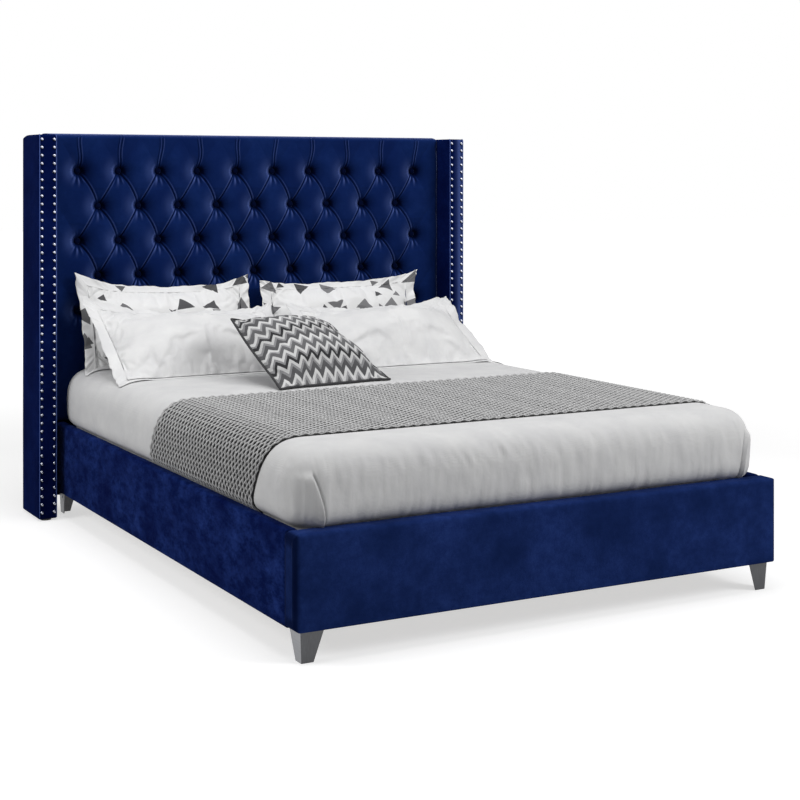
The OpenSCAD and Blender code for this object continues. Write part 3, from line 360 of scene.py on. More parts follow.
def zigzagWeave(uvMap):
    # Flat woven zigzag in white, two greys and charcoal
    look = zigzagLook
    material, tree = newMaterial("zigzag_woven_cotton")
    parts = addNode(tree, "ShaderNodeSeparateXYZ", {"Vector": addNode(tree, "ShaderNodeUVMap", uv_map=uvMap)}).outputs
    half = look["across"] / 2
    wave = addNode(tree, "ShaderNodeMath", {0: parts["X"], 1: half}, operation="PINGPONG")
    rise = addNode(tree, "ShaderNodeMath", {0: wave, 1: look["rise"] / half}, operation="MULTIPLY")
    height = addNode(tree, "ShaderNodeMath", {0: parts["Y"], 1: rise}, operation="SUBTRACT")
    turns = addNode(tree, "ShaderNodeMath", {0: height, 1: look["repeat"]}, operation="DIVIDE")
    band = addNode(tree, "ShaderNodeMath", {0: turns}, operation="FRACT")
    base = addNode(tree, "ShaderNodeValToRGB", {"Fac": band}, look["bands"], hard=True)
    flecks = addNode(tree, "ShaderNodeValToRGB", {"Fac": patches(tree, look["fleck"], 2.0, uvMap=uvMap)},
                     [(0.35, "#6c6c6c"), (0.65, "#c8c8c8")])
    colour = addNode(tree, "ShaderNodeMix", {0: 0.3, 6: base, 7: flecks}, data_type="RGBA",
                     blend_type="OVERLAY").outputs[2]
    rib = addNode(tree, "ShaderNodeTexWave", {"Vector": placeOf(tree, uvMap=uvMap), "Scale": waveSize / look["rib"]},
                  bands_direction="Y").outputs["Fac"]
    return finishMaterial(material, {"Base Color": colour, "Roughness": 0.9, "Specular IOR Level": 0.2},
                          [(rib, 0.0003), (patches(tree, 0.03), 0.001)])


clothMap = "clothMap"
# Copies of one velvet cloth: their base colours and sheen weights differ part by part as painted light and shade, the
# rails, wings, lower cover and buttons being darker copies for the less light they get; each pair of tones after them
# is a painted highlight and a painted shade
panelVelvet = velvet("short_pile_velvet_tufted", "#0c1d4c", "#0f2354", "#1c3168", 0.35, 0.9,
                     paintedLight=("#5468a6", "#01051c"))
footVelvet = velvet("short_pile_velvet_footboard", "#13234f", "#1b2d62", "#293f7c", 0.65, 0.12,
                    paintedLight=("#4a5ea4", "#020620"))
railVelvetShaded = velvet("short_pile_velvet_rails_shaded", "#050f3e", "#0a1a4c", "#24397a", 1.0, 0.10, (1, 0.5, 1),
                    paintedLight=("#4a5ea4", "#010416"))
wingVelvetShaded = velvet("short_pile_velvet_wings_shaded", "#030c36", "#061344", "#0f2056", 0.5, 0.08,
                    paintedLight=("#5468a8", "#010416"))
lowerVelvetShaded = velvet("short_pile_velvet_lower_cover_shaded", "#030c34", "#06123e", "#0e1e4e", 0.5, 0.10)
buttonVelvetShaded = velvet("short_pile_velvet_buttons_shaded", "#040b26", "#070f2c", "#0d1838", 0.4, 0.3)
pine = pineWood()
backingCloth = bareCloth("black_spun_backing_cloth", "#1b1b1d", "#101011")
webbing = bareCloth("black_polypropylene_webbing", "#1e1e20", "#0e0e0f", 0.003)
nylon = mouldedNylon()
zincSteel = platedSteel("zinc_plated_steel", "#8f9296", "#b4b7bb", 0.3, 0.5, size=0.012)
nickelPlate = platedSteel("polished_nickel_plate", "#979aa6", "#b4b7c2", 0.2, 0.3, size=0.02, lift=0.00002,
                          paintedDarkSide=((-0.70, 0.10, -0.70), 0.04, 0.36, "#10131f"))
# One steel for the legs: the front plate's darker copy is painted shade and the side plate's paler copy painted
# light; only the brush direction differs for real
legSteelShaded = platedSteel("steel_brushed_upright_shaded", "#4c4c4e", "#5f6062", 0.32, 0.5, (1, 1, 0.02), 0.0016, 0.00006)
sideSteelLit = platedSteel("steel_brushed_across_lit", "#85868a", "#9b9c9f", 0.3, 0.42, (1, 0.02, 1), 0.0016, 0.00006)
ticking = mattressTicking()
paleCotton = cotton("washed_cotton_pale_grey", "#d4d4d4", "#cacacb")
whiteCotton = cotton("washed_cotton_white", "#e2e2e2", "#d6d6d7", rumple=0.0022, uvMap=clothMap)
printed = printedCotton(clothMap)
zigzag = zigzagWeave(clothMap)
pipingCloth = bareCloth("charcoal_cotton_piping", "#3a3a3c", "#262628")
knitWool = bareCloth("chunky_wool_yarn_grey", "#cdcdcd", "#a0a0a1", 0.006)
# Painted shade: a dark sheet under the knit, seen through its holes and at its foot edge
knitShade = bareCloth("knit_back_in_shade", "#151516", "#0c0c0d", 0.004)
print("materials made")


# Mesh helpers
def makePiece(name, points, faces, materials, smooth=True, uv=None):
    mesh = bpy.data.meshes.new(name)
    mesh.from_pydata([tuple(p) for p in np.asarray(points, float)], [], [tuple(int(i) for i in f) for f in faces])
    for material in materials if isinstance(materials, (list, tuple)) else [materials]:
        mesh.materials.append(material)
    if uv is not None:
        layer = mesh.uv_layers.new(name=clothMap)
        order = np.zeros(len(mesh.loops), int)
        mesh.loops.foreach_get("vertex_index", order)
        layer.data.foreach_set("uv", np.asarray(uv, float)[order].ravel())
    mesh.polygons.foreach_set("use_smooth", [smooth] * len(mesh.polygons))
    mesh.validate()
    mesh.update()
    return addObject(name, mesh)


def declare(piece, body, stoodFor):
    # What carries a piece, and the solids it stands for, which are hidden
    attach(piece, body)
    if stoodFor:
        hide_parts(*stoodFor)


def gridFaces(rows, columns, start=0, closeRows=False, closeColumns=False, flip=False):
    j, i = np.meshgrid(np.arange(rows if closeRows else rows - 1),
                       np.arange(columns if closeColumns else columns - 1), indexing="ij")
    jn, im = (j + 1) % rows, (i + 1) % columns
    quads = np.stack([j * columns + i, j * columns + im, jn * columns + im, jn * columns + i], -1).reshape(-1, 4)
    return list((quads[:, ::-1] if flip else quads) + start)


def loftFaces(count, size, flip=False):
    # A skin over closed rings, with a flat face on the first and the last of them
    ends = [range(size)[::-1], range((count - 1) * size, count * size)]
    return gridFaces(count, size, closeColumns=True, flip=flip) + [e[::-1] if flip else e for e in ends]


def fanFaces(start, size, tip):
    # Triangles from the ring that begins at start to one point
    return [(start + k, start + (k + 1) % size, tip) for k in range(size)]


def useModifiers(piece):
    graph = bpy.context.evaluated_depsgraph_get()
    final = bpy.data.meshes.new_from_object(piece.evaluated_get(graph))
    piece.modifiers.clear()
    piece.data = final
    piece.data.name = piece.name
    return piece


def thicken(piece, thick, even=False):
    # A cloth gets its thickness inwards from its face
    shell = piece.modifiers.new("clothThickness", "SOLIDIFY")
    shell.thickness, shell.offset, shell.use_even_offset = thick, -1, even
    useModifiers(piece)


def joinInto(piece, others):
    # One mesh out of several, kept at the origin
    points, faces = [], []
    for mesh in [piece.data] + [o.data for o in others]:
        start = len(points)
        points += [tuple(v.co) for v in mesh.vertices]
        faces += [tuple(start + i for i in f.vertices) for f in mesh.polygons]
    whole = bpy.data.meshes.new(piece.name)
    whole.from_pydata(points, [], faces)
    whole.materials.append(piece.data.materials[0])
    whole.polygons.foreach_set("use_smooth", [True] * len(whole.polygons))
    piece.data = whole
    for o in others:
        bpy.data.objects.remove(o)


def setPaintedLight(piece, values):
    # Painted light and shade at each point: 0 painted shade at its darkest, 0.5 plain, 1 painted highlight at its
    # palest
    piece.data.attributes.new("paintedLightShade", "FLOAT", "POINT").data.foreach_set("value", np.clip(values, 0, 1))


def smoothStep(t):
    c = np.clip(t, 0, 1)
    return c * c * (3 - 2 * c)


def bell(distance, width, power=2):
    return np.exp(-(distance / width) ** power)


def softNoise(points, size, seed=0.0, stretch=(1, 1, 1)):
    scale = np.array(stretch, float) / size
    return np.array([noise.noise(Vector((p[0] * scale[0] + seed, p[1] * scale[1], p[2] * scale[2])))
                     for p in np.asarray(points, float)])


def tube(name, path, radius, sides, material, closed=False):
    # A round welt along a path of points
    path = np.asarray(path, float)
    ahead = np.roll(path, -1, 0) - np.roll(path, 1, 0)
    if not closed:
        ahead[0], ahead[-1] = path[1] - path[0], path[-1] - path[-2]
    ahead /= np.linalg.norm(ahead, axis=1)[:, None]
    first = np.cross(ahead, (0.31, -0.52, 0.79))  # a direction that no welt runs along
    first /= np.linalg.norm(first, axis=1)[:, None]
    second = np.cross(ahead, first)
    angles = np.linspace(0, 2 * np.pi, sides, endpoint=False)[None, :, None]
    rings = path[:, None] + radius * (np.cos(angles) * first[:, None] + np.sin(angles) * second[:, None])
    faces = (gridFaces(len(path), sides, closeRows=True, closeColumns=True) if closed
             else loftFaces(len(path), sides))
    return makePiece(name, rings.reshape(-1, 3), faces, material)


# Node trees with named inputs, for what repeats or follows a line; each becomes a plain mesh
def newTree(name, inputs):
    tree = bpy.data.node_groups.new(name, "GeometryNodeTree")
    tree.interface.new_socket("Geometry", in_out="INPUT", socket_type="NodeSocketGeometry")
    for label, kind in inputs.items():
        tree.interface.new_socket(label, in_out="INPUT", socket_type="NodeSocket" + kind)
    tree.interface.new_socket("Geometry", in_out="OUTPUT", socket_type="NodeSocketGeometry")
    return tree, addNode(tree, "NodeGroupInput").outputs


def finishTree(tree, geometry, material):
    # Smooth, made real and given its material
    soft = addNode(tree, "GeometryNodeSetShadeSmooth", {"Geometry": geometry})
    real = addNode(tree, "GeometryNodeRealizeInstances", {"Geometry": soft})
    finish = addNode(tree, "GeometryNodeSetMaterial", {"Geometry": real, "Material": material})
    addNode(tree, "NodeGroupOutput", {"Geometry": finish})
    return tree


def growPiece(name, points, edges, tree, values, attributes=None):
    mesh = bpy.data.meshes.new(name)
    mesh.from_pydata([tuple(p) for p in np.asarray(points, float)], edges, [])
    for label, data in (attributes or {}).items():
        mesh.attributes.new(label, "FLOAT", "POINT").data.foreach_set("value", np.asarray(data, float))
    piece = addObject(name, mesh)
    modifier = piece.modifiers.new(tree.name, "NODES")
    modifier.node_group = tree
    for item in tree.interface.items_tree:
        if item.in_out == "INPUT" and item.name in values:
            modifier[item.identifier] = values[item.name]
    bpy.context.view_layer.update()
    return useModifiers(piece)


def domeTree():
    # A shallow dome on each point, facing the foot of the bed
    tree, given = newTree("domedHeads", {"Radius": "Float", "Height": "Float", "Sides": "Int", "Rings": "Int",
                                         "Finish": "Material"})
    ball = addNode(tree, "GeometryNodeMeshUVSphere", {"Segments": given["Sides"], "Rings": given["Rings"],
                                                      "Radius": 1.0})
    size = addNode(tree, "ShaderNodeCombineXYZ", {"X": given["Radius"], "Y": given["Radius"], "Z": given["Height"]})
    squashed = addNode(tree, "GeometryNodeTransform", {"Geometry": ball, "Scale": size})
    head = addNode(tree, "GeometryNodeTransform", {"Geometry": squashed, "Rotation": (math.pi / 2, 0, 0)})
    spread = addNode(tree, "GeometryNodeInstanceOnPoints", {"Points": given["Geometry"], "Instance": head})
    return finishTree(tree, spread, given["Finish"])


domedHeads = domeTree()

# Tufted headboard: puffed diamonds, a folded pleat along each diagonal, fine pleats under each button
tufting = dict(
    half=0.8362, low=0.350, top=1.428, backY=1.0603, headBackY=1.1192, rollBack=0.020, frontRoll=0.016,
    pitch=0.161, row=0.1325, rows=5, columns=10, firstX=-0.7245, firstZ=1.286, buttonY=1.0295,
    puff=0.034, dome=0.006, valley=0.0075, valleyWidth=0.011, groove=0.0042, grooveWidth=0.0022,
    lip=0.0042, lipAt=0.0052, lipWidth=0.0027, bow=(-0.003, 0.006), pitWidth=0.0175, pitRadius=0.0130,
    upPleats=((-0.0035, 0.8), (0.0055, 1.0)), upSway=0.004, upLip=(0.003, 0.0026),
    pleat=0.0042, fan=(0.034, 0.017), fanSpread=0.6, ripple=(0.026, 0.010), buttonRadius=0.0125, buttonHeight=0.0075,
    sideRoll=0.016, sideDepth=0.012, sideShade=0.48, uneven=0.0008,
    stepAcross=0.0024, stepUp=0.0040, stepLow=0.012, lowBelow=0.80,
)
# Painted highlights and painted shade beside a fold or a button, each with its distance and width
paintedMarks = dict(
    lipWidth=0.0019, crease=0.0024, shade=(0.011, 0.004), upLip=(0.0035, 0.0018), upCrease=0.0022,
    rim=(0.0265, 0.0065), glow=(0.040, 0.022), pit=0.024, plain=0.019, right=(0.016, 0.036),
)


def tuftExists(p, q):
    row, across = p - q, (p + q) / 2
    return (row >= 0) & (row < tufting["rows"]) & (across >= -0.01) & (across <= tufting["columns"] - 0.99)


def foldMarks(across, down):
    # Height, and the painted highlights and shade, along the creases between neighbouring buttons
    t, m = tufting, paintedMarks
    p, q = across + down / 2, across - down / 2
    i, j = np.floor(p), np.floor(q)
    tp, tq = p - i, q - j
    span = t["pitch"] * t["row"] / math.hypot(t["pitch"] / 2, t["row"])  # between creases of one direction
    # signed distance to the crease, share of the way down it, are both its buttons there, which way it runs
    edges = [((tp - k) * span, 1 - tq, tuftExists(i + k, j) & tuftExists(i + k, j + 1), 0) for k in (0, 1)]
    edges += [((tq - k) * span, tp, tuftExists(i, j + k) & tuftExists(i + 1, j + k), 1) for k in (0, 1)]
    height = t["puff"] - t["dome"] * (1 - (np.sin(np.pi * tp) * np.sin(np.pi * tq)) ** 0.8)
    paintedLight = np.zeros_like(across)
    for away, along, there, way in edges:
        s = away - t["bow"][way] * np.sin(np.pi * along)
        strong = np.where(there, 0.72 + 0.28 * np.abs(np.cos(np.pi * along)), 0)
        height = height + strong * (
            -t["valley"] * bell(np.abs(s), t["valleyWidth"], 1) - t["groove"] * bell(s, t["grooveWidth"])
            + t["lip"] * (0.6 + 0.4 * way) * bell(s - t["lipAt"], t["lipWidth"])
            + t["lip"] * (0.8 - 0.2 * way) * bell(s + t["lipAt"], t["lipWidth"]))
        # Painted highlight on the lips beside each crease, painted shade in the crease and just beside it
        paintedLight = paintedLight + strong * (
            0.75 * (0.45 + 0.55 * way) * bell(s - t["lipAt"], m["lipWidth"])
            + 0.6 * (0.9 - 0.35 * way) * bell(s + t["lipAt"], m["lipWidth"])
            - 0.85 * bell(s, m["crease"]) - 0.30 * way * bell(s - m["shade"][0], m["shade"][1]))
    return height, paintedLight


def upwardPleats(across, down):
    # Two thin pleats run up from each button of the first row
    t, m = tufting, paintedMarks
    column = np.clip(np.round(across), 0, t["columns"] - 1)
    beside = (across - column) * t["pitch"]
    above = np.clip(-down, 0, 1)
    up = np.where(down < 0, smoothStep(-down / 0.1), 0.0) * (1 - 0.25 * above)
    sway = t["upSway"] * np.sin(above * 5.5 + column * 1.7)
    height, paintedLight = 0, 0
    for at, size in t["upPleats"]:
        s = beside - at * (1 + 0.4 * above) - sway
        height = height + up * size * (t["lip"] * bell(s - t["upLip"][0], t["upLip"][1])
                                       - t["groove"] * bell(s, t["grooveWidth"])
                                       - 0.35 * t["valley"] * bell(np.abs(s), t["valleyWidth"], 1))
        # Painted highlight on each pleat's lip, painted shade in its crease
        paintedLight = paintedLight + up * size * (0.55 * bell(s - m["upLip"][0], m["upLip"][1]) - 0.8 * bell(s, m["upCrease"]))
    return height, paintedLight


def puffHeight(x, z):
    t, m = tufting, paintedMarks
    across = (x - t["firstX"]) / t["pitch"]
    down = (t["firstZ"] - z) / t["row"]
    height, paintedLight = (a + b for a, b in zip(foldMarks(across, down), upwardPleats(across, down)))
    # Deep pit round each button, with fine pleats fanning out below it
    row = np.clip(np.round(down), 0, t["rows"] - 1)
    odd = np.mod(row, 2) * 0.5
    nearest = np.clip(np.round(across - odd), 0, t["columns"] - 1 - np.mod(row, 2)) + odd
    dx = (across - nearest) * t["pitch"]
    dz = (down - row) * t["row"]
    far = np.hypot(dx, dz)
    angle = np.arctan2(dx, dz)
    fan = bell(far - t["fan"][0], t["fan"][1]) * bell(angle, t["fanSpread"], 4)
    ripple = bell(far - t["ripple"][0], t["ripple"][1]) * 0.35
    creases = fan * np.cos(angle * 13 + nearest * 2.1 + row)
    height = height + t["pleat"] * (creases + ripple * np.cos(angle * 15 + nearest * 1.3))
    # Painted highlights and shade along the fanned pleats and ripples
    paintedLight = paintedLight + 0.5 * creases + 0.25 * ripple * np.cos(angle * 21 + nearest)
    # Painted light as if lit from the right: a painted highlight on the left rim of each pit, painted shade in the
    # pit and on its right side
    sideways = -dx / np.maximum(far, 1e-6)
    toLeft, toRight = np.clip(sideways, 0, 1), np.clip(-sideways, 0, 1)
    rim = 0.62 * bell(far - m["rim"][0], m["rim"][1]) + 0.22 * bell(far - m["glow"][0], m["glow"][1])
    paintedLight = paintedLight * (1 - bell(far, m["plain"], 4)) + rim * toLeft ** 1.3
    paintedLight = paintedLight - 0.78 * bell(far, m["pit"], 4) * (1 - 0.35 * toLeft)
    paintedLight = paintedLight - 0.62 * bell(far - m["right"][0], m["right"][1]) * toRight ** 0.8
    full = height * (1 - bell(np.maximum(far - t["pitRadius"], 0), t["pitWidth"], 1))
    fade = smoothStep((down - (t["rows"] - 1)) / 0.8)
    return full + (t["puff"] * 0.75 - full) * fade, np.clip(0.5 + 0.5 * paintedLight * (1 - fade), 0, 1)


def tuftedPad():
    t = tufting
    columns = int(2 * t["half"] / t["stepAcross"])
    xs = np.linspace(-t["half"], t["half"], columns)
    rollZ = t["top"] - t["frontRoll"]
    zs = np.concatenate([np.arange(t["low"], t["lowBelow"], t["stepLow"]),
                         np.arange(t["lowBelow"], rollZ, t["stepUp"]), [rollZ]])
    gridX, gridZ = np.meshgrid(xs, zs)
    depth, paintedLight = puffHeight(gridX, gridZ)
    # The cloth rolls into the gap beside each wing, and is darkened there as painted shade
    beside = np.clip((t["sideRoll"] - (t["half"] - np.abs(gridX))) / t["sideRoll"], 0, 1)
    depth -= t["sideDepth"] * (1 - np.sqrt(1 - beside ** 2 * 0.98))
    paintedLight -= t["sideShade"] * beside ** 1.5
    spots = np.stack([gridX, gridX * 0, gridZ], -1).reshape(-1, 3)
    depth += t["uneven"] * softNoise(spots, 0.07).reshape(gridX.shape)
    front = np.stack([gridX, t["buttonY"] - depth, gridZ], -1)
    lastY = front[-1, :, 1]
    # Over the top and down the back: depth and height of each row
    backRollY, backRollZ = t["headBackY"] - t["rollBack"], t["top"] - t["rollBack"]
    over = [(lastY + (t["backY"] - lastY) * (1 - math.cos(a)), rollZ + t["frontRoll"] * math.sin(a))
            for a in np.radians(np.linspace(12, 90, 8))]
    over += [(backRollY + t["rollBack"] * math.sin(a), backRollZ + t["rollBack"] * math.cos(a))
             for a in np.radians([0, 22.5, 45, 67.5, 90])]
    over += [(t["backY"], backRollZ), (t["backY"], t["low"])]
    points = np.concatenate([front, [np.stack([xs, xs * 0 + y, xs * 0 + z], -1) for y, z in over]])
    count = len(points)
    faces = gridFaces(count, columns, closeRows=True)
    faces += [range(0, count * columns, columns), range(columns - 1, count * columns, columns)[::-1]]
    piece = makePiece("tuftedPad", points.reshape(-1, 3), faces, panelVelvet)
    for end in piece.data.polygons[-2:]:
        end.use_smooth = False
    setPaintedLight(piece, np.concatenate([paintedLight.ravel(), np.full(len(over) * columns, 0.5)]))
    declare(piece, "root", ("headboard_tufted_pad", "headboard_top_roll"))
    return piece


def coveredButtons():
    t = tufting
    spots = [(t["firstX"] + (c + (r % 2) / 2) * t["pitch"], t["buttonY"] - 0.0005, t["firstZ"] - r * t["row"])
             for r in range(t["rows"]) for c in range(t["columns"] - r % 2)]
    buttons = growPiece("coveredButtons", spots, [], domedHeads, {
        "Radius": t["buttonRadius"], "Height": t["buttonHeight"], "Sides": 16, "Rings": 8, "Finish": buttonVelvetShaded})
    declare(buttons, "root", ("tufting_buttons",))


print("headboard tufted:", len(tuftedPad().data.polygons), "faces")
coveredButtons()

# Wings: padded panels with a welt along both front edges and two columns of nails
wings = dict(inner=0.8365, outer=0.908, frontY=0.9035, backY=1.1195, low=0.0066, top=1.42,
             edge=0.008, step=0.014, swell=0.0012, weltRadius=0.0019, weltInset=0.0046, weltHighlight=0.85,
             glow=0.30, paintedSheenInset=0.021, paintedSheenWidth=0.012,
             slopeDepth=0.060, slopeDrop=0.014,
             nailRadius=0.0066, nailHeight=0.0040, nailPitch=0.0298, nailInset=0.0125, nailTop=0.018, nails=47)


def roundedBox(name, low, high, radius, step, material, swell=0.0):
    # A box of fine quads whose edges are rounded and whose faces swell a little
    low, high = np.array(low, float), np.array(high, float)
    index, points, faces, marks = {}, [], [], []
    nearEdge = radius * np.array([0, 0.35, 0.7])
    for span in high - low:
        inner = np.linspace(radius, span - radius, max(2, int(round((span - 2 * radius) / step)) + 1))
        marks.append(np.concatenate([nearEdge, inner, span - nearEdge[::-1]]))

    def pointAt(key):
        if key not in index:
            index[key] = len(points)
            points.append([low[k] + marks[k][key[k]] for k in range(3)])
        return index[key]

    for axis in range(3):
        a, b = [k for k in range(3) if k != axis]
        for end in (0, len(marks[axis]) - 1):
            for i in range(len(marks[a]) - 1):
                for j in range(len(marks[b]) - 1):
                    corners = []
                    for di, dj in ((0, 0), (1, 0), (1, 1), (0, 1)):
                        key = [0, 0, 0]
                        key[axis], key[a], key[b] = end, i + di, j + dj
                        corners.append(pointAt(tuple(key)))
                    faces.append(corners[::-1] if (axis == 1) == (end > 0) else corners)
    p = np.array(points)
    core = np.clip(p, low + radius, high - radius)
    away = p - core
    away = away / np.maximum(np.linalg.norm(away, axis=1), 1e-9)[:, None]
    p = core + away * radius
    rel = (p - (low + high) / 2) / ((high - low) / 2)
    soft = np.prod(np.where(np.abs(away) > 0.9, 1.0, 1 - np.abs(rel) ** 4), axis=1)
    p += away * (swell * soft * (1 + 0.8 * softNoise(p, 0.18)))[:, None]
    return makePiece(name, p, faces, material)


def makeWing(side):
    w = wings
    label = "Left" if side < 0 else "Right"
    node = "wing_" + label.lower()
    x0, x1 = sorted((side * w["inner"], side * w["outer"]))
    cover = roundedBox("wingCover" + label, (x0, w["frontY"], w["low"]), (x1, w["backY"], w["top"]),
                       w["edge"], w["step"], wingVelvetShaded, w["swell"])
    for v in cover.data.vertices:  # the top falls away a little to the back
        back, near = (min(1, max(0, (at - end) / w["slopeDepth"] + 1))
                      for at, end in ((v.co.y, w["backY"]), (v.co.z, w["top"])))
        v.co.z -= w["slopeDrop"] * (1 - math.sqrt(1 - back ** 2)) * near
    plain = len(cover.data.vertices)
    welts = []
    for x in (x0 + w["weltInset"], x1 - w["weltInset"]):
        path = [(x, w["frontY"] - 0.0004, z) for z in np.linspace(w["low"] + 0.004, w["top"] - w["edge"], 60)]
        path += [(x, w["frontY"] + w["edge"] * (1 - math.cos(a)),
                  w["top"] - w["edge"] + (w["edge"] + 0.0002) * math.sin(a)) for a in np.radians([30, 60, 90])]
        welts.append(tube("weltStrip", path, w["weltRadius"], 8, wingVelvetShaded))
    joinInto(cover, welts)
    place = np.array([v.co[:] for v in cover.data.vertices])
    # The welts are paler than the cover as a painted highlight
    paintedLight = np.where(np.arange(len(place)) < plain, 0.5, w["weltHighlight"])
    if side > 0:  # on the far wing a painted sheen band lies beside the outer nails
        front = place[:, 1] < w["frontY"] + 0.003
        paintedLight += w["glow"] * bell(place[:, 0] - x1 + w["paintedSheenInset"], w["paintedSheenWidth"]) * front
    setPaintedLight(cover, paintedLight)
    spots = [(x, w["frontY"] - w["swell"], w["top"] - w["nailTop"] - k * w["nailPitch"])
             for x in (x0 + w["nailInset"], x1 - w["nailInset"]) for k in range(w["nails"])]
    nails = growPiece("nailheads" + label, spots, [], domedHeads, {
        "Radius": w["nailRadius"], "Height": w["nailHeight"], "Sides": 10, "Rings": 6, "Finish": nickelPlate})
    declare(cover, "root", (node + "_cover",))
    declare(nails, "root", (node + "_nailheads",))


makeWing(-1)
makeWing(1)
print("wings covered and nailed")

# Rails and footboard: velvet over foam over a board, open inside where the real cover is
platform = dict(inner=0.770, outer=0.808, frontY=-1.1195, footInnerY=-1.0535, headY=1.0585,
                low=0.086, top=0.343, edge=0.012, lowEdge=0.004, lining=0.002, board=0.025, topPad=0.010,
                liningDepth=0.090, window=0.020, footPad=0.014, footBoard=0.044,
                step=0.012, swell=0.0022, topSwell=(0.0012, 0.001), endFade=(0.05, 0.06), tuck=0.006,
                endRound=0.018, endProud=0.004, boardEnd=0.0108, seamShade=0.40, seamWidth=0.009)


def quarter(x, z, radius, start, steps):
    # A quarter turn about X, Z, anticlockwise from a start in degrees
    return [(x + radius * math.cos(a), z + radius * math.sin(a))
            for a in np.radians(np.linspace(start, start + 90, steps))]


def coverProfile(thick, boardStart, boardEnd):
    # Closed outline of a cover, seen from its end: 0 is the face inside the bed, thick is the outer face
    p = platform
    h = p["top"] - p["low"]
    r, s, lip = p["edge"], p["lowEdge"], h - p["liningDepth"]
    outline = [(0, p["window"])] + quarter(s, s, s, 180, 4)
    outline += [(x, 0) for x in np.linspace(s, thick - s, 4)[1:-1]] + quarter(thick - s, s, s, 270, 4)
    outline += [(thick, z) for z in np.linspace(s, h - r, 24)[1:-1]] + quarter(thick - r, h - r, r, 0, 6)
    outline += [(x, h) for x in np.linspace(thick - r, r, 4)[1:-1]] + quarter(r, h - r, r, 90, 6)
    outline += [(0, z) for z in np.linspace(h - r, lip, 9)[1:]]
    pocketTop = h - p["topPad"]
    outline += [(boardStart, lip), (boardStart, pocketTop), (boardEnd, pocketTop),
                (boardEnd, p["lining"]), (boardStart, p["lining"]), (boardStart, p["window"])]
    depth, height = np.array(outline).T
    middle = 1 - np.abs(2 * height / h - 1) ** 4
    return depth, height, middle, np.clip((height - h + 0.004) / 0.004, 0, 1)


def coverPiece(name, rings, velvetCloth, paintedLight, replaced, flip=False):
    rings = np.array(rings)
    count, size = rings.shape[:2]
    cover = makePiece(name, rings.reshape(-1, 3), loftFaces(count, size, flip), velvetCloth)
    setPaintedLight(cover, np.repeat(paintedLight, size))
    declare(cover, "root", (replaced,))


def makeRail(side):
    p = platform
    label = "Left" if side < 0 else "Right"
    depth, height, middle, onTop = coverProfile(p["outer"] - p["inner"], p["lining"], p["lining"] + p["board"])
    outside = np.clip((depth - 0.030) / 0.006, 0, 1) * middle
    ys = np.linspace(p["footInnerY"] + 0.0004, p["headY"], int((p["headY"] - p["footInnerY"]) / p["step"]))
    rings = []
    for y in ys:
        start = y - ys[0]
        endFade = min(1, start / p["endFade"][0], (ys[-1] - y) / p["endFade"][0])
        tuck = p["tuck"] * (1 - math.sqrt(max(0, 1 - (1 - min(1, start / p["tuck"])) ** 2)))
        spots = np.stack([0 * height + side, 0 * height + y, height], -1)
        waves = softNoise(spots, 0.16, 3.0, (1, 1, 0.6)) + 0.5 * softNoise(spots, 0.06, 9.0)
        out = (p["swell"] * (1 + 0.55 * waves) * endFade - tuck) * outside
        up = (p["topSwell"][0] * waves * endFade - tuck) * onTop
        rings.append(np.stack([side * (p["inner"] + depth + out), 0 * height + y, p["low"] + height + up], -1))
    # Painted shade in the joint where the rail meets the footboard
    paintedLight = 0.5 - p["seamShade"] * bell(ys - ys[0], p["seamWidth"])
    coverPiece("railCover" + label, rings, railVelvetShaded, paintedLight, "rail_" + label.lower() + "_cover", side > 0)


def makeFootboard():
    p = platform
    thick, h = p["footInnerY"] - p["frontY"], p["top"] - p["low"]
    back = thick - p["footPad"] - p["footBoard"]
    depth, height, middle, onTop = coverProfile(thick, back, back + p["footBoard"])
    outside = np.clip((depth - thick + 0.012) / 0.010, 0, 1) * middle
    half, r = p["outer"] + p["endProud"], p["endRound"]
    corner = half - r + r * np.sin(np.radians(np.arange(0, 91, 15)))
    pocket = p["outer"] - p["boardEnd"]
    xs = np.sort(np.concatenate([-corner, np.linspace(-half + r, half - r, int(2 * half / p["step"]))[1:-1], corner,
                                 [-pocket - 0.0001, -pocket, pocket, pocket + 0.0001]]))
    rings = []
    for x in xs:
        over = max(0.0, abs(x) - half + r)
        inset = r - math.sqrt(max(0.0, r * r - over * over))
        endFade = min(1, (half - abs(x)) / p["endFade"][1])
        spots = np.stack([0 * height + x, 0 * height + 5.0, height], -1)
        waves = softNoise(spots, 0.22, 1.0, (1, 1, 0.7)) + 0.4 * softNoise(spots, 0.07, 4.0)
        out = p["swell"] * (1 + 0.5 * waves) * endFade * outside
        d = np.minimum(depth, thick - inset) + out
        z = np.clip(height + p["topSwell"][1] * waves * endFade * onTop, 0.8 * inset, h - inset)
        if abs(x) > pocket:  # the cover closes over the ends of the board
            d[-6:] = 0.0
            z[-6:] = np.linspace(h - p["liningDepth"], p["window"], 8)[1:-1]
        rings.append(np.stack([0 * height + x, p["footInnerY"] - d, p["low"] + z], -1))
    # Each end is closed by rings that shrink to its middle; the rounded end and its closing rings are darkened as
    # painted shade
    centre = np.array([0, p["footInnerY"] - thick / 2, p["low"] + h / 2])
    paintedLight = [0.5 - 0.38 * smoothStep((abs(x) - half + 0.70 * r) / (0.5 * r)) for x in xs]
    outer = rings[0], rings[-1]
    for share, shade in ((0.90, 0.14), (0.78, 0.36), (0.45, 0.38)):
        ends = [centre + (ring - centre) * (1, share, share) for ring in outer]
        rings, paintedLight = [ends[0]] + rings + [ends[1]], [shade] + paintedLight + [shade]
    coverPiece("footboardCover", rings, footVelvet, paintedLight, "footboard_cover")


makeRail(-1)
makeRail(1)
makeFootboard()
print("rails and footboard covered")

# Legs: one sheet of steel folded at the outer corner, under a top plate
legs = dict(lean=0.005, foot=0.036, plate=0.0035, topPlate=0.004, bevel=0.0007, levels=5)


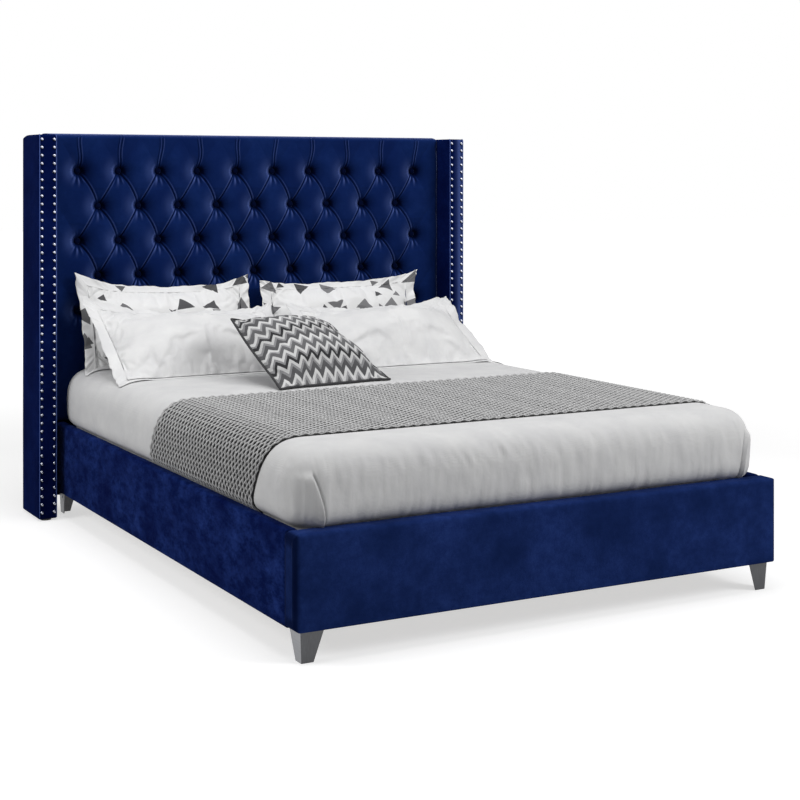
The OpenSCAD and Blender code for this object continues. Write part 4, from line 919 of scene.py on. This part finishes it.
def makeLeg(end, label):
    g = legs
    node = "leg_" + end.lower() + "_" + label.lower()
    low, high = (np.array(c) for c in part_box(node))
    width, tall = high[0] - low[0], high[2] - low[2]
    rings = []
    for t in np.linspace(0, 1, g["levels"]):
        a = g["lean"] * (1 - t)
        b = a + g["foot"] + (width - g["foot"]) * t
        c = a + g["plate"]
        rings += [(x, y, t * tall) for x, y in ((a, a), (b, a), (b, c), (c, c), (c, b), (a, b))]
    faces = gridFaces(g["levels"], 6, closeColumns=True)
    marks = [int(k % 6 in (3, 5)) for k in range(len(faces))]  # the plate that faces along the bed is brushed across, and its paler steel is painted light
    top = len(rings) - 6
    faces += [(3, 2, 1, 0), (5, 4, 3, 0), (top, top + 1, top + 2, top + 3), (top, top + 3, top + 4, top + 5)]
    inside, start = g["plate"], len(rings)
    for z in (tall - g["topPlate"], tall - g["bevel"] * 0.2):
        rings += [(inside, inside, z), (width, inside, z), (width, width, z), (inside, width, z)]
    faces += [tuple(start + i for i in f) for f in ((3, 2, 1, 0), (4, 5, 6, 7), (0, 1, 5, 4), (1, 2, 6, 5),
                                                    (2, 3, 7, 6), (3, 0, 4, 7))]
    sideX, sideY = (-1 if label == "Right" else 1), (1 if end == "Front" else -1)
    corner = np.array([low[0] if sideX > 0 else high[0], low[1] if sideY > 0 else high[1], low[2]])
    if sideX * sideY < 0:
        faces = [f[::-1] for f in faces]
    leg = makePiece("foldedLeg" + end + label, corner + np.array(rings) * (sideX, sideY, 1), faces,
                    [legSteelShaded, sideSteelLit], smooth=False)
    leg.data.polygons.foreach_set("material_index", marks + [0] * (len(faces) - len(marks)))
    soften = leg.modifiers.new("edges", "BEVEL")
    soften.width, soften.segments, soften.limit_method = g["bevel"], 2, "ANGLE"
    useModifiers(leg)
    declare(leg, "root", (node,))


for end in ("Front", "Rear"):
    for label in ("Left", "Right"):
        makeLeg(end, label)
print("legs folded")

# Mattress and the layers over it
bed = dict(half=0.762, halfLong=1.016, midY=-0.0295, headY=0.9865, railTop=0.343, tuckDepth=0.006,
           bulge=0.028, tuck=0.005, tuckPower=5.0, corner=0.070, roundWidth=0.119, roundPower=2.7,
           widest=0.430978, top=0.5476)


def bedSection(out, low, step):
    # Side of the bed from low to the flat top: distance outside the mattress and height
    b = bed
    start = b["railTop"] - b["tuckDepth"]
    f = np.linspace(0, 1, 30)
    t = np.radians(np.linspace(0, 90, 60))[1:]
    power = 2 / b["roundPower"]
    lineE = np.concatenate([[out - b["tuck"]],
                            out - b["tuck"] + (b["tuck"] + b["bulge"]) * (1 - (1 - f) ** b["tuckPower"]),
                            b["bulge"] + out - (b["roundWidth"] + out) * (1 - np.cos(t) ** power)])
    lineZ = np.concatenate([[low], start + (b["widest"] - start) * f,
                            b["widest"] + (b["top"] - b["widest"] + out) * np.sin(t) ** power])
    length = np.concatenate([[0], np.cumsum(np.hypot(np.diff(lineE), np.diff(lineZ)))])
    marks = np.linspace(0, length[-1], int(length[-1] / step) + 1)
    return np.interp(marks, length, lineE), np.interp(marks, length, lineZ)


def bedRing(look, e, z, headOut):
    # Rounded rectangle round the mattress, seen from above, starting at +X
    b = bed
    w, l, r = b["half"] + e, b["halfLong"] + e, max(look["corner"] + e, 0.01)
    headPoints, footPoints = look["headPoints"], look["footPoints"]
    centres = [(w - r, l - r, 0, headPoints), (r - w, l - r, 90, headPoints),
               (r - w, r - l, 180, footPoints), (w - r, r - l, 270, footPoints)]
    sideRun = int(2 * b["halfLong"] / look["sideStep"])
    headRun, footRun = (int(2 * b["half"] / step) for step in (max(look["endStep"], 0.040), look["endStep"]))
    ring = []
    for k, run in enumerate((headRun, sideRun, footRun, sideRun)):
        cx, cy, turn, count = centres[k]
        angles = np.radians(turn + np.linspace(0, 90, count))
        ring.append(np.stack([cx + r * np.cos(angles), cy + r * np.sin(angles)], -1))
        nx, ny, nextTurn, _ = centres[(k + 1) % 4]
        to = np.array([nx + r * math.cos(math.radians(nextTurn)), ny + r * math.sin(math.radians(nextTurn))])
        end = ring[-1][-1]
        ring.append(end + (to - end) * np.linspace(0, 1, run + 2)[1:-1, None])
    ring = np.concatenate(ring)
    ring[:, 1] = np.minimum(ring[:, 1] + b["midY"], b["headY"] + max(0, headOut))
    return np.concatenate([ring, np.full((len(ring), 1), z)], 1)


def layerOver(look, low):
    # Rings from the hem to the top, then smaller and smaller to the middle
    rings = [bedRing(look, e, z, look["out"]) for e, z in zip(*bedSection(look["out"], low, look["step"]))]
    top = rings[-1]
    centre = np.array([0, bed["midY"], top[0, 2]])
    rings += [centre + (top - centre) * share for share in np.linspace(1, 0, look["inward"] + 1)[1:-1]]
    return np.array(rings), centre


mattressLook = dict(low=0.2480, out=-0.0008, step=0.014, sideStep=0.03, endStep=0.03, headPoints=8, footPoints=10,
                    inward=14, corner=0.110, lowRound=0.014, tape=0.0032, tapeRise=0.004, tapeIn=0.0012,
                    underside=(0.3, 0.65))


def makeMattress():
    m = mattressLook
    lowEdge = m["low"] + m["lowRound"]
    rings, centre = layerOver(m, lowEdge)
    low = [bedRing(m, m["out"] - bed["tuck"] - m["lowRound"] * (1 - math.cos(a)),
                   m["low"] + m["lowRound"] * (1 - math.sin(a)), m["out"]) for a in np.radians([90, 60, 30])]
    middle = np.array([0, bed["midY"], m["low"]])
    inner = [middle + (low[0] - middle) * share for share in m["underside"]]
    rings = np.concatenate([inner, low, rings])
    count, size = rings.shape[:2]
    points = np.concatenate([rings.reshape(-1, 3), [middle], [centre]])
    faces = gridFaces(count, size, closeColumns=True) + [f[::-1] for f in fanFaces(0, size, count * size)]
    faces += fanFaces((count - 1) * size, size, count * size + 1)
    piece = makePiece("mattressBody", points, faces, ticking)
    ring = bedRing(m, m["out"] - bed["tuck"] - m["tapeIn"], lowEdge + m["tapeRise"], m["out"] - 0.001)
    joinInto(piece, [tube("mattressTape", ring, m["tape"], 8, ticking, True)])
    declare(piece, "bedding", ("mattress",))


coverletLook = dict(
    hem=0.283, out=0.0034, thick=0.0016, step=0.0068, sideStep=0.016, endStep=0.0085,
    headPoints=8, footPoints=88, inward=18, corner=bed["corner"],
    foldLow=0.345, foldTop=0.492, foldAngles=(81, 22), foldStep=0.0215, foldReach=0.20,
    flapWidth=0.040, lapDrop=0.0120, beyondWidth=0.065, crevice=0.0075, creviceAt=0.0030, creviceWidth=0.0024,
    strain=0.0014, strainWidth=0.016,
    wrinkles=[
        # where, depth, size, seed, stretch, slant
        ("foot", 0.003432, 0.030, 2.0, (1, 0.2, 0.16), 0),
        ("foot", 0.002184, 0.013, 5.0, (1, 0.3, 0.2), 0),
        ("hem", 0.0034, 0.0095, 14.0, (1, 0, 0.12), 0.25),
        ("gather", 0.0040, 0.019, 8.0, (1, 0.3, 0.25), 0.5),
        ("side", 0.0014, 0.05, 4.0, (0.3, 1, 0.3), 0),
        ("all", 0.0016, 0.22, 6.0, (1, 1, 1), 0),
    ],
    footFace=(0.93, 0.08), wrinkleLow=0.05, wrinkleTop=(0.50, 0.045),
    gatherAt=(-0.16, 0.50), gatherSize=(0.26, 0.045), hemTop=(0.402, 0.045), hemMore=1.1, hemAt=-0.56, hemWidth=0.11,
)


def wrinkle(flat, onTop, away):
    # Depth of the wrinkles at each point: down the foot, at its hem, gathered below the edge, along the sides
    c = coverletLook
    x, y, z = flat.T
    footFace = np.clip((-y - c["footFace"][0]) / c["footFace"][1], 0, 1) * ~onTop
    sideFace = (1 - footFace) * ~onTop
    (high, fade), (hemHigh, hemFade) = c["wrinkleTop"], c["hemTop"]
    drop = smoothStep((z - c["hem"]) / c["wrinkleLow"]) * (1 - smoothStep((z - high) / fade))
    patchy = np.clip(0.35 + 1.3 * softNoise(flat, 0.16, 11.0, (1, 0, 0)), 0, 1)
    hem = smoothStep((hemHigh - z) / hemFade) * patchy * (1 + c["hemMore"] * bell(x - c["hemAt"], c["hemWidth"]))
    gather = bell(x - c["gatherAt"][0], c["gatherSize"][0]) * bell(z - c["gatherAt"][1], c["gatherSize"][1])
    fields = dict(foot=footFace * drop, hem=footFace * hem, gather=footFace * gather, side=sideFace * drop,
                  all=np.clip(away / 0.02, 0, 1) * np.where(onTop, 0.8, 0.5))
    shift = sum(depth * fields[where] * softNoise(flat + np.stack([z * slant, z * 0, z * 0], -1), size, seed, stretch)
                for where, depth, size, seed, stretch, slant in c["wrinkles"])
    # Pressed flat where the throw lies on it
    foot = throwLook["footY"] - 0.03
    head = foot + throwLook["width"] + throwLook["skew"] + 0.06
    under = smoothStep((y - foot) / 0.03) * smoothStep((head - y) / 0.03)
    return shift - under * np.maximum(shift, 0)


def mitre(flat, hand, onTop):
    # A mitred corner: the side's flap rises to its folded edge, with a crevice behind it
    c = coverletLook
    cx, cy = hand * (bed["half"] - bed["corner"]), bed["midY"] - bed["halfLong"] + bed["corner"]
    toSide, toFoot = hand * (flat[:, 0] - cx), cy - flat[:, 1]
    radius = bed["corner"] + bed["bulge"]
    turn = np.arctan2(np.maximum(toFoot, 0), np.maximum(toSide, 1e-6))
    along = radius * turn + np.minimum(toFoot, 0) + np.where(toFoot > 0, np.maximum(-toSide, 0), 0)
    rise = np.clip((flat[:, 2] - c["foldLow"]) / (c["foldTop"] - c["foldLow"]), -0.4, 1)
    past = along - radius * np.radians(c["foldAngles"][0] - c["foldAngles"][1] * np.maximum(rise, 0) ** 2.2)
    fade = smoothStep((1 - rise) / 0.16) * (flat[:, 2] < c["foldTop"] + 0.001)
    beyond = smoothStep(past / 0.0016)
    lowness = np.clip(1 - rise, 0, 1)
    tall = c["foldStep"] * (0.50 + 0.50 * lowness)
    flap = ((1 - beyond) * tall * np.exp(np.minimum(past, 0) / c["flapWidth"])
            + beyond * np.maximum(tall - c["lapDrop"], 0) * bell(np.maximum(past, 0), c["beyondWidth"], 1))
    pull = (1 - beyond) * bell(past + c["strainWidth"], c["strainWidth"]) * np.sin(flat[:, 2] * 390 + past * 260)
    near = smoothStep((c["foldReach"] - np.abs(past)) / 0.06) * ~onTop
    move = flap - c["crevice"] * bell(past - c["creviceAt"], c["creviceWidth"]) + c["strain"] * pull * lowness
    return move * fade * near


def makeCoverlet():
    c = coverletLook
    rings, centre = layerOver(c, c["hem"])
    count, size = rings.shape[:2]
    flat = rings.reshape(-1, 3)
    onTop = np.repeat(np.arange(count) >= count - (c["inward"] - 1), size)
    # Outward direction: away from the middle of the nearest straight run, then up on the flat top
    w, l = bed["half"] - bed["corner"], bed["halfLong"] - bed["corner"]
    core = np.stack([np.clip(flat[:, 0], -w, w), np.clip(flat[:, 1] - bed["midY"], -l, l) + bed["midY"]], -1)
    away = flat[:, :2] - core
    length = np.linalg.norm(away, axis=1)
    side = away / np.maximum(length, 1e-6)[:, None]
    lift = np.clip((flat[:, 2] - bed["widest"]) / (bed["top"] - bed["widest"] + c["out"]), 0, 1)
    outward = np.concatenate([side * np.sqrt(np.clip(1 - lift ** 4, 0, 1))[:, None], (lift ** 2)[:, None]], 1)
    outward[onTop] = (0, 0, 1)
    flat = flat + outward * wrinkle(flat, onTop, length)[:, None]
    for hand in (-1, 1):
        flat = flat + outward * mitre(flat, hand, onTop)[:, None]
    faces = gridFaces(count, size, closeColumns=True) + fanFaces((count - 1) * size, size, count * size)
    piece = makePiece("coverletCloth", np.concatenate([flat, [centre]]), faces, paleCotton)
    thicken(piece, c["thick"], True)
    declare(piece, "bedding", ("coverlet",))


throwLook = dict(hem=0.303, footY=-0.8595, width=0.800, skew=0.078, lining=0.0044, liningThick=0.0012,
                 yarnOut=0.0080, strandGap=0.012, stitch=0.034, sway=0.0036, yarn=0.0029, relief=0.0022,
                 sample=0.0068, border=0.0058, paintedShadowReach=0.0145, farEdge=0.004, liningStep=0.016, liningRows=40,
                 guideStep=0.008)


def throwPath(out, step):
    # Across the bed from hem to hem: X, shift along the bed, Z
    es, zs = bedSection(out, throwLook["hem"], step)
    shift = throwLook["skew"] * (1 - smoothStep((zs - bed["railTop"]) / (bed["top"] - bed["railTop"])))
    right = np.stack([bed["half"] + es, shift, zs], -1)
    edge = right[-1, 0]
    middle = np.linspace(edge, -edge, int(2 * edge / step) + 1)[1:-1]
    top = np.stack([middle, middle * 0 + right[-1, 1], middle * 0 + right[-1, 2]], -1)
    return np.concatenate([right, top, right[::-1] * (-1, 1, 1)])


def knitTree():
    # Yarn along each guide line, swaying so that neighbours meet and part
    tree, given = newTree("openKnit", {"Sample": "Float", "Stitch": "Float", "Sway": "Float", "Relief": "Float",
                                       "Yarn": "Float", "Finish": "Material"})
    curve = addNode(tree, "GeometryNodeMeshToCurve", {"Mesh": given["Geometry"]})
    spaced = addNode(tree, "GeometryNodeResampleCurve", {"Curve": curve, "Length": given["Sample"]}, mode="LENGTH")
    run = addNode(tree, "GeometryNodeSplineParameter").outputs["Length"]
    phase, loose = [addNode(tree, "GeometryNodeInputNamedAttribute", {"Name": name}, data_type="FLOAT")
                    for name in ("phase", "loose")]
    turns = addNode(tree, "ShaderNodeMath", {0: run, 1: given["Stitch"]}, operation="DIVIDE")
    angle = addNode(tree, "ShaderNodeMath", {0: turns, 1: 2 * math.pi, 2: phase}, operation="MULTIPLY_ADD")
    swing, lift = [addNode(tree, "ShaderNodeMath", {0: angle}, operation=wave) for wave in ("SINE", "COSINE")]
    reach = addNode(tree, "ShaderNodeMath", {0: loose, 1: given["Sway"]}, operation="MULTIPLY")
    side = addNode(tree, "ShaderNodeMath", {0: swing, 1: reach}, operation="MULTIPLY")
    rise = addNode(tree, "ShaderNodeMath", {0: lift, 1: given["Relief"]}, operation="MULTIPLY")
    upward = addNode(tree, "ShaderNodeVectorMath", {0: addNode(tree, "GeometryNodeInputTangent"), 1: (0, 1, 0)},
                     operation="CROSS_PRODUCT")
    lifted = addNode(tree, "ShaderNodeVectorMath", {0: upward, "Scale": rise}, operation="SCALE")
    beside = addNode(tree, "ShaderNodeCombineXYZ", {"Y": side})
    offset = addNode(tree, "ShaderNodeVectorMath", {0: lifted, 1: beside}, operation="ADD")
    moved = addNode(tree, "GeometryNodeSetPosition", {"Geometry": spaced, "Offset": offset})
    profile = addNode(tree, "GeometryNodeCurvePrimitiveCircle", {"Resolution": 4, "Radius": given["Yarn"]})
    yarn = addNode(tree, "GeometryNodeCurveToMesh", {"Curve": moved, "Profile Curve": profile, "Fill Caps": True})
    return finishTree(tree, yarn, given["Finish"])


def makeThrow():
    k = throwLook
    # The dark sheet under the knit is painted shade: it darkens the holes, and reaches past the foot edge as a
    # painted shadow line
    path = throwPath(k["lining"], k["liningStep"])
    ys = np.linspace(-k["paintedShadowReach"], k["width"] - k["farEdge"], k["liningRows"])
    points = [(x, k["footY"] + y + dy, z) for y in ys for x, dy, z in path]
    lining = makePiece("throwShadeSheet", points, gridFaces(len(ys), len(path), flip=True), knitShade)
    thicken(lining, k["liningThick"])
    guide = throwPath(k["yarnOut"], k["guideStep"])
    strands = int(k["width"] / k["strandGap"])
    # Place along the bed and sway of each strand; the two at the ends bind the edges
    places = [(k["footY"] + s * k["width"] / strands, 1.0) for s in range(strands + 1)]
    places += [(k["footY"] - k["border"], 0.0), (k["footY"] + k["width"] + k["border"], 0.3)]
    size = len(guide)
    points = [(x, y + dy, z) for y, _ in places for x, dy, z in guide]
    edges = [(s * size + i, s * size + i + 1) for s in range(len(places)) for i in range(size - 1)]
    knit = growPiece("throwKnit", points, edges, knitTree(), {
        "Sample": k["sample"], "Stitch": k["stitch"], "Sway": k["sway"], "Relief": k["relief"],
        "Yarn": k["yarn"], "Finish": knitWool},
        {"phase": np.repeat([math.pi * (s % 2) for s in range(len(places))], size),
         "loose": np.repeat([sway for _, sway in places], size)})
    declare(lining, "bedding", ())
    declare(knit, "bedding", ("throw",))


makeMattress()
makeCoverlet()
makeThrow()

# Pillows: a sewn bag that is blown up by cloth simulation, with a flat border or a piped seam
sewing = dict(across=72, up=50, frames=24, pressure=2.6, growth=-0.12, gain=1.5, swellKept=0.15, limit=0.014,
              evenSteps=40, gap=0.0006, edge=0.005, borderThick=0.0024, borderSteps=8, borderStart=-0.10,
              fillet=0.0034, uneven=0.16, piping=0.0042, crowd=0.45, swellPower=2.4, full=0.97,
              cloth={"quality": 6, "mass": 0.25, "air_damping": 2.0, "tension_stiffness": 18,
                     "compression_stiffness": 18, "shear_stiffness": 8, "bending_stiffness": 0.25},
              # size round the border and strength of each set of its waves, and where its pattern starts
              waves=[(4.2, 1, 0), (11, 0.6, 3), (26, 0.5, 7), (52, 0.22, 9)])


def leanFront(lean, turn=0.0):
    return np.array([math.sin(turn) * math.sin(lean), -math.cos(turn) * math.sin(lean), math.cos(lean)])


# A wall is a point and the direction that faces away from it; a slump moves the corner named by its signs
bedTop = 0.551
shamLean, pillowLean = math.radians(68), math.radians(31)
shamFront, pillowFront = leanFront(shamLean), leanFront(pillowLean)
shamFoot = np.array([0, 0.8115, 0.505])
shamWall = shamFoot + 0.058 * shamFront
headFace = (np.array([0, 0.9935, 0]), np.array([0, -1.0, 0]))
shamStyle = dict(width=0.708, height=0.436, lean=shamLean, turn=0.0, rises=(0.062, 0.062), border=0.038,
                 draw=(0.04, 0.26, 0.30), walls=[headFace, (shamWall, -shamFront)], material=printed,
                 slot="printed_cotton", fill=0.6, wave=0.014, roundness=0.92)
pillowStyle = dict(width=0.752, height=0.505, lean=pillowLean, turn=0.0, rises=(0.112, 0.066), border=0.038,
                   draw=(0.04, 0.14, 0.20), material=whiteCotton, slot="white_cotton", fill=0.7, wave=0.017,
                   roundness=0.98)
zigzagStyle = dict(width=0.446, height=0.446, lean=math.radians(27), turn=math.radians(7), rises=(0.088, 0.070),
                   corners={(-1, 1): (0.040, 0.004, 0), (1, 1): (-0.052, -0.020, -0.03)},
                   border=0.0, draw=(0.07, 0.07, 0.07), material=zigzag, slot="zigzag_weave", fill=0.8,
                   roundness=0.72)
shams = [
    # side, X of the foot, seed, slump of its corners
    ("Left", -0.405, 1.3, {(1, 1): (0, -0.033, 0)}),
    ("Right", 0.326, 5.1, {(-1, 1): (0.022, -0.058, 0), (1, 1): (0.034, -0.037, 0), (1, -1): (0.02, 0, 0)}),
]
pillows = [
    # side, foot, seed, slump of its corners
    ("Left", (-0.381, 0.4355, 0.513), 2.7, {(-1, 1): (-0.002, 0.046, 0.030), (1, 1): (0, -0.01, 0)}),
    ("Right", (0.374, 0.3435, 0.513), 6.4, {(-1, 1): (0.03, 0, 0), (1, 1): (0.0, 0.008, 0)}),
]


def bedHeight(x):
    layers = coverletLook["out"]
    flatX, reach = bed["half"] + bed["bulge"] - bed["roundWidth"], bed["roundWidth"] + layers
    past = (np.abs(x) - flatX) / reach
    bridge, power = 0.004 * smoothStep(1 + past * 2), bed["roundPower"]
    curve = bed["widest"] + (bed["top"] - bed["widest"] + layers) * (1 - np.clip(past, 0, 1) ** power) ** (1 / power)
    return bridge + np.where(past <= 0, bedTop, curve)


def flatForm(style, u, v, out):
    # Place in the cushion's own plane for a share u across and v up of its cut, with its slumped corners
    narrow, drawLow, drawHigh = style["draw"]
    x = style["width"] / 2 * u * (1 - narrow * (1 - v * v))
    drawn = np.where(v < 0, drawLow, drawHigh) * (1 - np.abs(u) ** 3)
    local = np.stack([x, style["height"] / 2 * (1 + v * (1 - drawn)), out + 0 * x], -1)
    for (su, sv), move in style["corners"].items():
        weight = (np.clip((1 + su * u) / 2, 0, 1) ** 3) * (np.clip((1 + sv * v) / 2, 0, 1) ** 3)
        local = local + weight[..., None] * np.array(move)
    return local


def layDown(style, foot, local, facing):
    # From the cushion's own plane to its place, flat against the bed and what it leans on
    lean, turn = style["lean"], style["turn"]
    front = leanFront(lean, turn)
    along = np.array([math.cos(turn), math.sin(turn), 0])
    upward = np.array([-math.sin(turn) * math.cos(lean), math.cos(turn) * math.cos(lean), math.sin(lean)])
    p = foot + local[:, :1] * along + local[:, 1:2] * upward + local[:, 2:] * front
    for at, way in style["walls"]:
        keep = sewing["gap"] + np.where(facing * (front @ way) > 0, sewing["edge"], 0)
        p = p + np.maximum(0, keep - (p - at) @ way)[:, None] * way
    floor = bedHeight(p[:, 0]) + sewing["gap"] + np.where(facing * front[2] > 0, sewing["edge"], 0)
    p[:, 2] = np.maximum(p[:, 2], floor)
    return p


def spreadOut(field, times):
    # Even out a grid of moves, to part slow swelling from wrinkles
    for _ in range(times):
        padded = np.pad(field, ((1, 1), (1, 1), (0, 0)), mode="edge")
        field = (padded[:-2, 1:-1] + padded[2:, 1:-1] + padded[1:-1, :-2] + padded[1:-1, 2:]) / 4
    return field


def blowUp(name, points, faces, seam):
    # Cloth with air in it and a little too much cloth, so that it puckers along its seams
    bag = makePiece(name + "Bag", points, faces, whiteCotton)
    group = bag.vertex_groups.new(name="seam")
    group.add([int(i) for i in seam], 1.0, "REPLACE")
    cloth = bag.modifiers.new("cloth", "CLOTH")
    s = cloth.settings
    for setting, value in sewing["cloth"].items():
        setattr(s, setting, value)
    s.use_pressure, s.uniform_pressure_force = True, sewing["pressure"]
    s.shrink_min = s.shrink_max = sewing["growth"]
    s.vertex_group_mass = "seam"
    s.effector_weights.gravity = 0
    cloth.point_cache.frame_start, cloth.point_cache.frame_end = 1, sewing["frames"]
    for step in range(1, sewing["frames"] + 1):
        scene.frame_set(step)
    graph = bpy.context.evaluated_depsgraph_get()
    final = np.zeros(len(points) * 3)
    bag.evaluated_get(graph).data.vertices.foreach_get("co", final)
    scene.frame_set(1)
    bpy.data.objects.remove(bag)
    return final.reshape(-1, 3)


def sewBorder(style, foot, loopA, loopB, seed):
    # Flat border of two layers round the seam, a little wavy: its rings of points and their UV
    s, border = sewing, style["border"]
    width, height = style["width"], style["height"]
    rings, uvs = [], []
    marks = np.linspace(s["borderStart"], 1, s["borderSteps"] + 1)
    waves = np.array([sum(strong * noise.noise(Vector((math.cos(a) * size + seed, math.sin(a) * size, start)))
                          for size, strong, start in s["waves"])
                      for a in np.linspace(0, 2 * math.pi, len(loopA), endpoint=False)])
    for sign in (1, -1):
        for m in marks if sign > 0 else marks[::-1]:
            uneven = 2 * border * (m + s["uneven"] * np.roll(waves, 40) * max(0, m))
            bu = loopA * ((width - 2 * border) + uneven) / width
            bv = loopB * ((height - 2 * border) + uneven) / height
            thin = s["borderThick"] * (0.5 if m < 0.99 else 0.3)
            out = style["wave"] * waves * max(0, m) ** 0.85 + sign * thin
            if sign > 0:  # the border rises into the body, with no hard crease at the seam
                out = out + s["fillet"] * math.exp((marks[0] - m) / 0.17)
            placed = layDown(style, foot, flatForm(style, bu, bv, out), np.full(len(loopA), -1.0))
            rings.append(placed + sign * thin * leanFront(style["lean"], style["turn"]) * 0.6)
            uvs.append(np.stack([bu * width / 2, bv * height / 2], -1) + (seed, seed * 0.7))
    return rings, uvs


def sewCushion(name, node, style, foot, seed):
    s = sewing
    nu, nv, border = s["across"], s["up"], style["border"]
    width, height = style["width"], style["height"]
    evenA, evenB = np.linspace(-1, 1, nu + 1), np.linspace(-1, 1, nv + 1)
    gridA, gridB = np.meshgrid(*[(1 - s["crowd"]) * t + s["crowd"] * np.sin(np.pi / 2 * t) for t in (evenA, evenB)])
    innerWide, innerTall = width - 2 * border, height - 2 * border
    roundA, roundB = (1 - np.abs(grid) ** s["swellPower"] for grid in (gridA, gridB))
    swell = (roundA * roundB) ** style["roundness"]
    front, back = [flatForm(style, gridA * innerWide / width, gridB * innerTall / height,
                            sign * rise * swell * s["full"]) for sign, rise in zip((1, -1), style["rises"])]
    count = (nu + 1) * (nv + 1)
    number = np.arange(count).reshape(nv + 1, nu + 1)
    inner = np.zeros_like(number, bool)
    inner[1:-1, 1:-1] = True
    backNumber = number.copy()
    backNumber[inner] = count + np.arange(inner.sum())
    points = np.concatenate([front.reshape(-1, 3), back[inner]])
    faces = []
    for numbers, way in ((number, 1), (backNumber, -1)):
        quads = np.stack([numbers[:-1, :-1], numbers[:-1, 1:], numbers[1:, 1:], numbers[1:, :-1]], -1)
        faces += list(quads.reshape(-1, 4)[:, ::way])
    loop = np.concatenate([number[0, :-1], number[:-1, -1], number[-1, :0:-1], number[:0:-1, 0]])
    blown = blowUp(name, points, faces, loop)
    for numbers, free in ((number, number >= 0), (backNumber, inner)):
        move = (blown - points)[numbers]
        slow = spreadOut(move, s["evenSteps"])
        move = (move - slow) * s["gain"] + slow * s["swellKept"]
        move = move * (s["limit"] / (s["limit"] + np.linalg.norm(move, axis=2, keepdims=True)))
        points[numbers[free]] += move[free]
    placed = layDown(style, foot, points, np.where(np.arange(len(points)) < count, 1, -1))
    uv = np.stack([gridA * innerWide / 2, gridB * innerTall / 2], -1).reshape(-1, 2) + (seed, seed * 0.7)
    allPoints, allUv = [placed], [uv, uv[inner.ravel()]]
    if border:
        rings, uvs = sewBorder(style, foot, gridA.ravel()[loop], gridB.ravel()[loop], seed)
        allPoints += rings
        allUv += uvs
        faces += gridFaces(len(rings), len(loop), len(placed), closeRows=True, closeColumns=True, flip=True)
    piece = makePiece(name, np.concatenate(allPoints), faces, style["material"], uv=np.concatenate(allUv))
    finer = piece.modifiers.new("finer", "SUBSURF")
    finer.levels = finer.render_levels = 1
    useModifiers(piece)
    declare(piece, node, (node,))
    if not border:
        declare(tube(name + "Piping", placed[loop], s["piping"], 8, pipingCloth, True), node, ())
    print(name, "sewn:", len(piece.data.polygons), "faces")


for label, x, seed, slump in shams:
    sewCushion("sham" + label, "sham_" + label.lower(), {**shamStyle, "corners": slump}, shamFoot + (x, 0, 0), seed)
pillowFaces = []
for label, foot, seed, slump in pillows:
    face = np.array(foot) + pillowStyle["rises"][0] * pillowFront
    pillowFaces.append((face, pillowFront))
    style = {**pillowStyle, "corners": slump, "walls": [(shamWall, shamFront), (face, -pillowFront)]}
    sewCushion("pillow" + label, "pillow_" + label.lower(), style, np.array(foot), seed)
sewCushion("zigzagCushion", "zigzag_cushion", {**zigzagStyle, "walls": pillowFaces},
           np.array([-0.122, 0.0335, bedTop]), 0.0)

# The parts that stay as the frame gives them
finishes = {
    pine: ["headboard_posts", "headboard_cross_rails", "headboard_backing_board", "wing_left_frame",
           "wing_right_frame", "rail_left_board", "rail_right_board", "rail_left_ledger", "rail_right_ledger",
           "footboard_board", "centre_beam", "centre_leg_foot", "centre_leg_middle", "centre_leg_head", "slats"],
    lowerVelvetShaded: ["headboard_lower_cover"],
    backingCloth: ["headboard_back_cover"],
    webbing: ["slat_webbing"],
    nylon: ["wing_glides", "levelling_foot_foot", "levelling_foot_middle", "levelling_foot_head"],
    zincSteel: ["wing_bolts", "corner_brackets", "bracket_bolts", "leg_bolts", "beam_brackets", "slat_screws"],
}
for material, names in finishes.items():
    for name in names:
        for place in nodes[name].material_slots:
            place.material = material
print("finishes given to", sum(len(names) for names in finishes.values()), "frame parts")
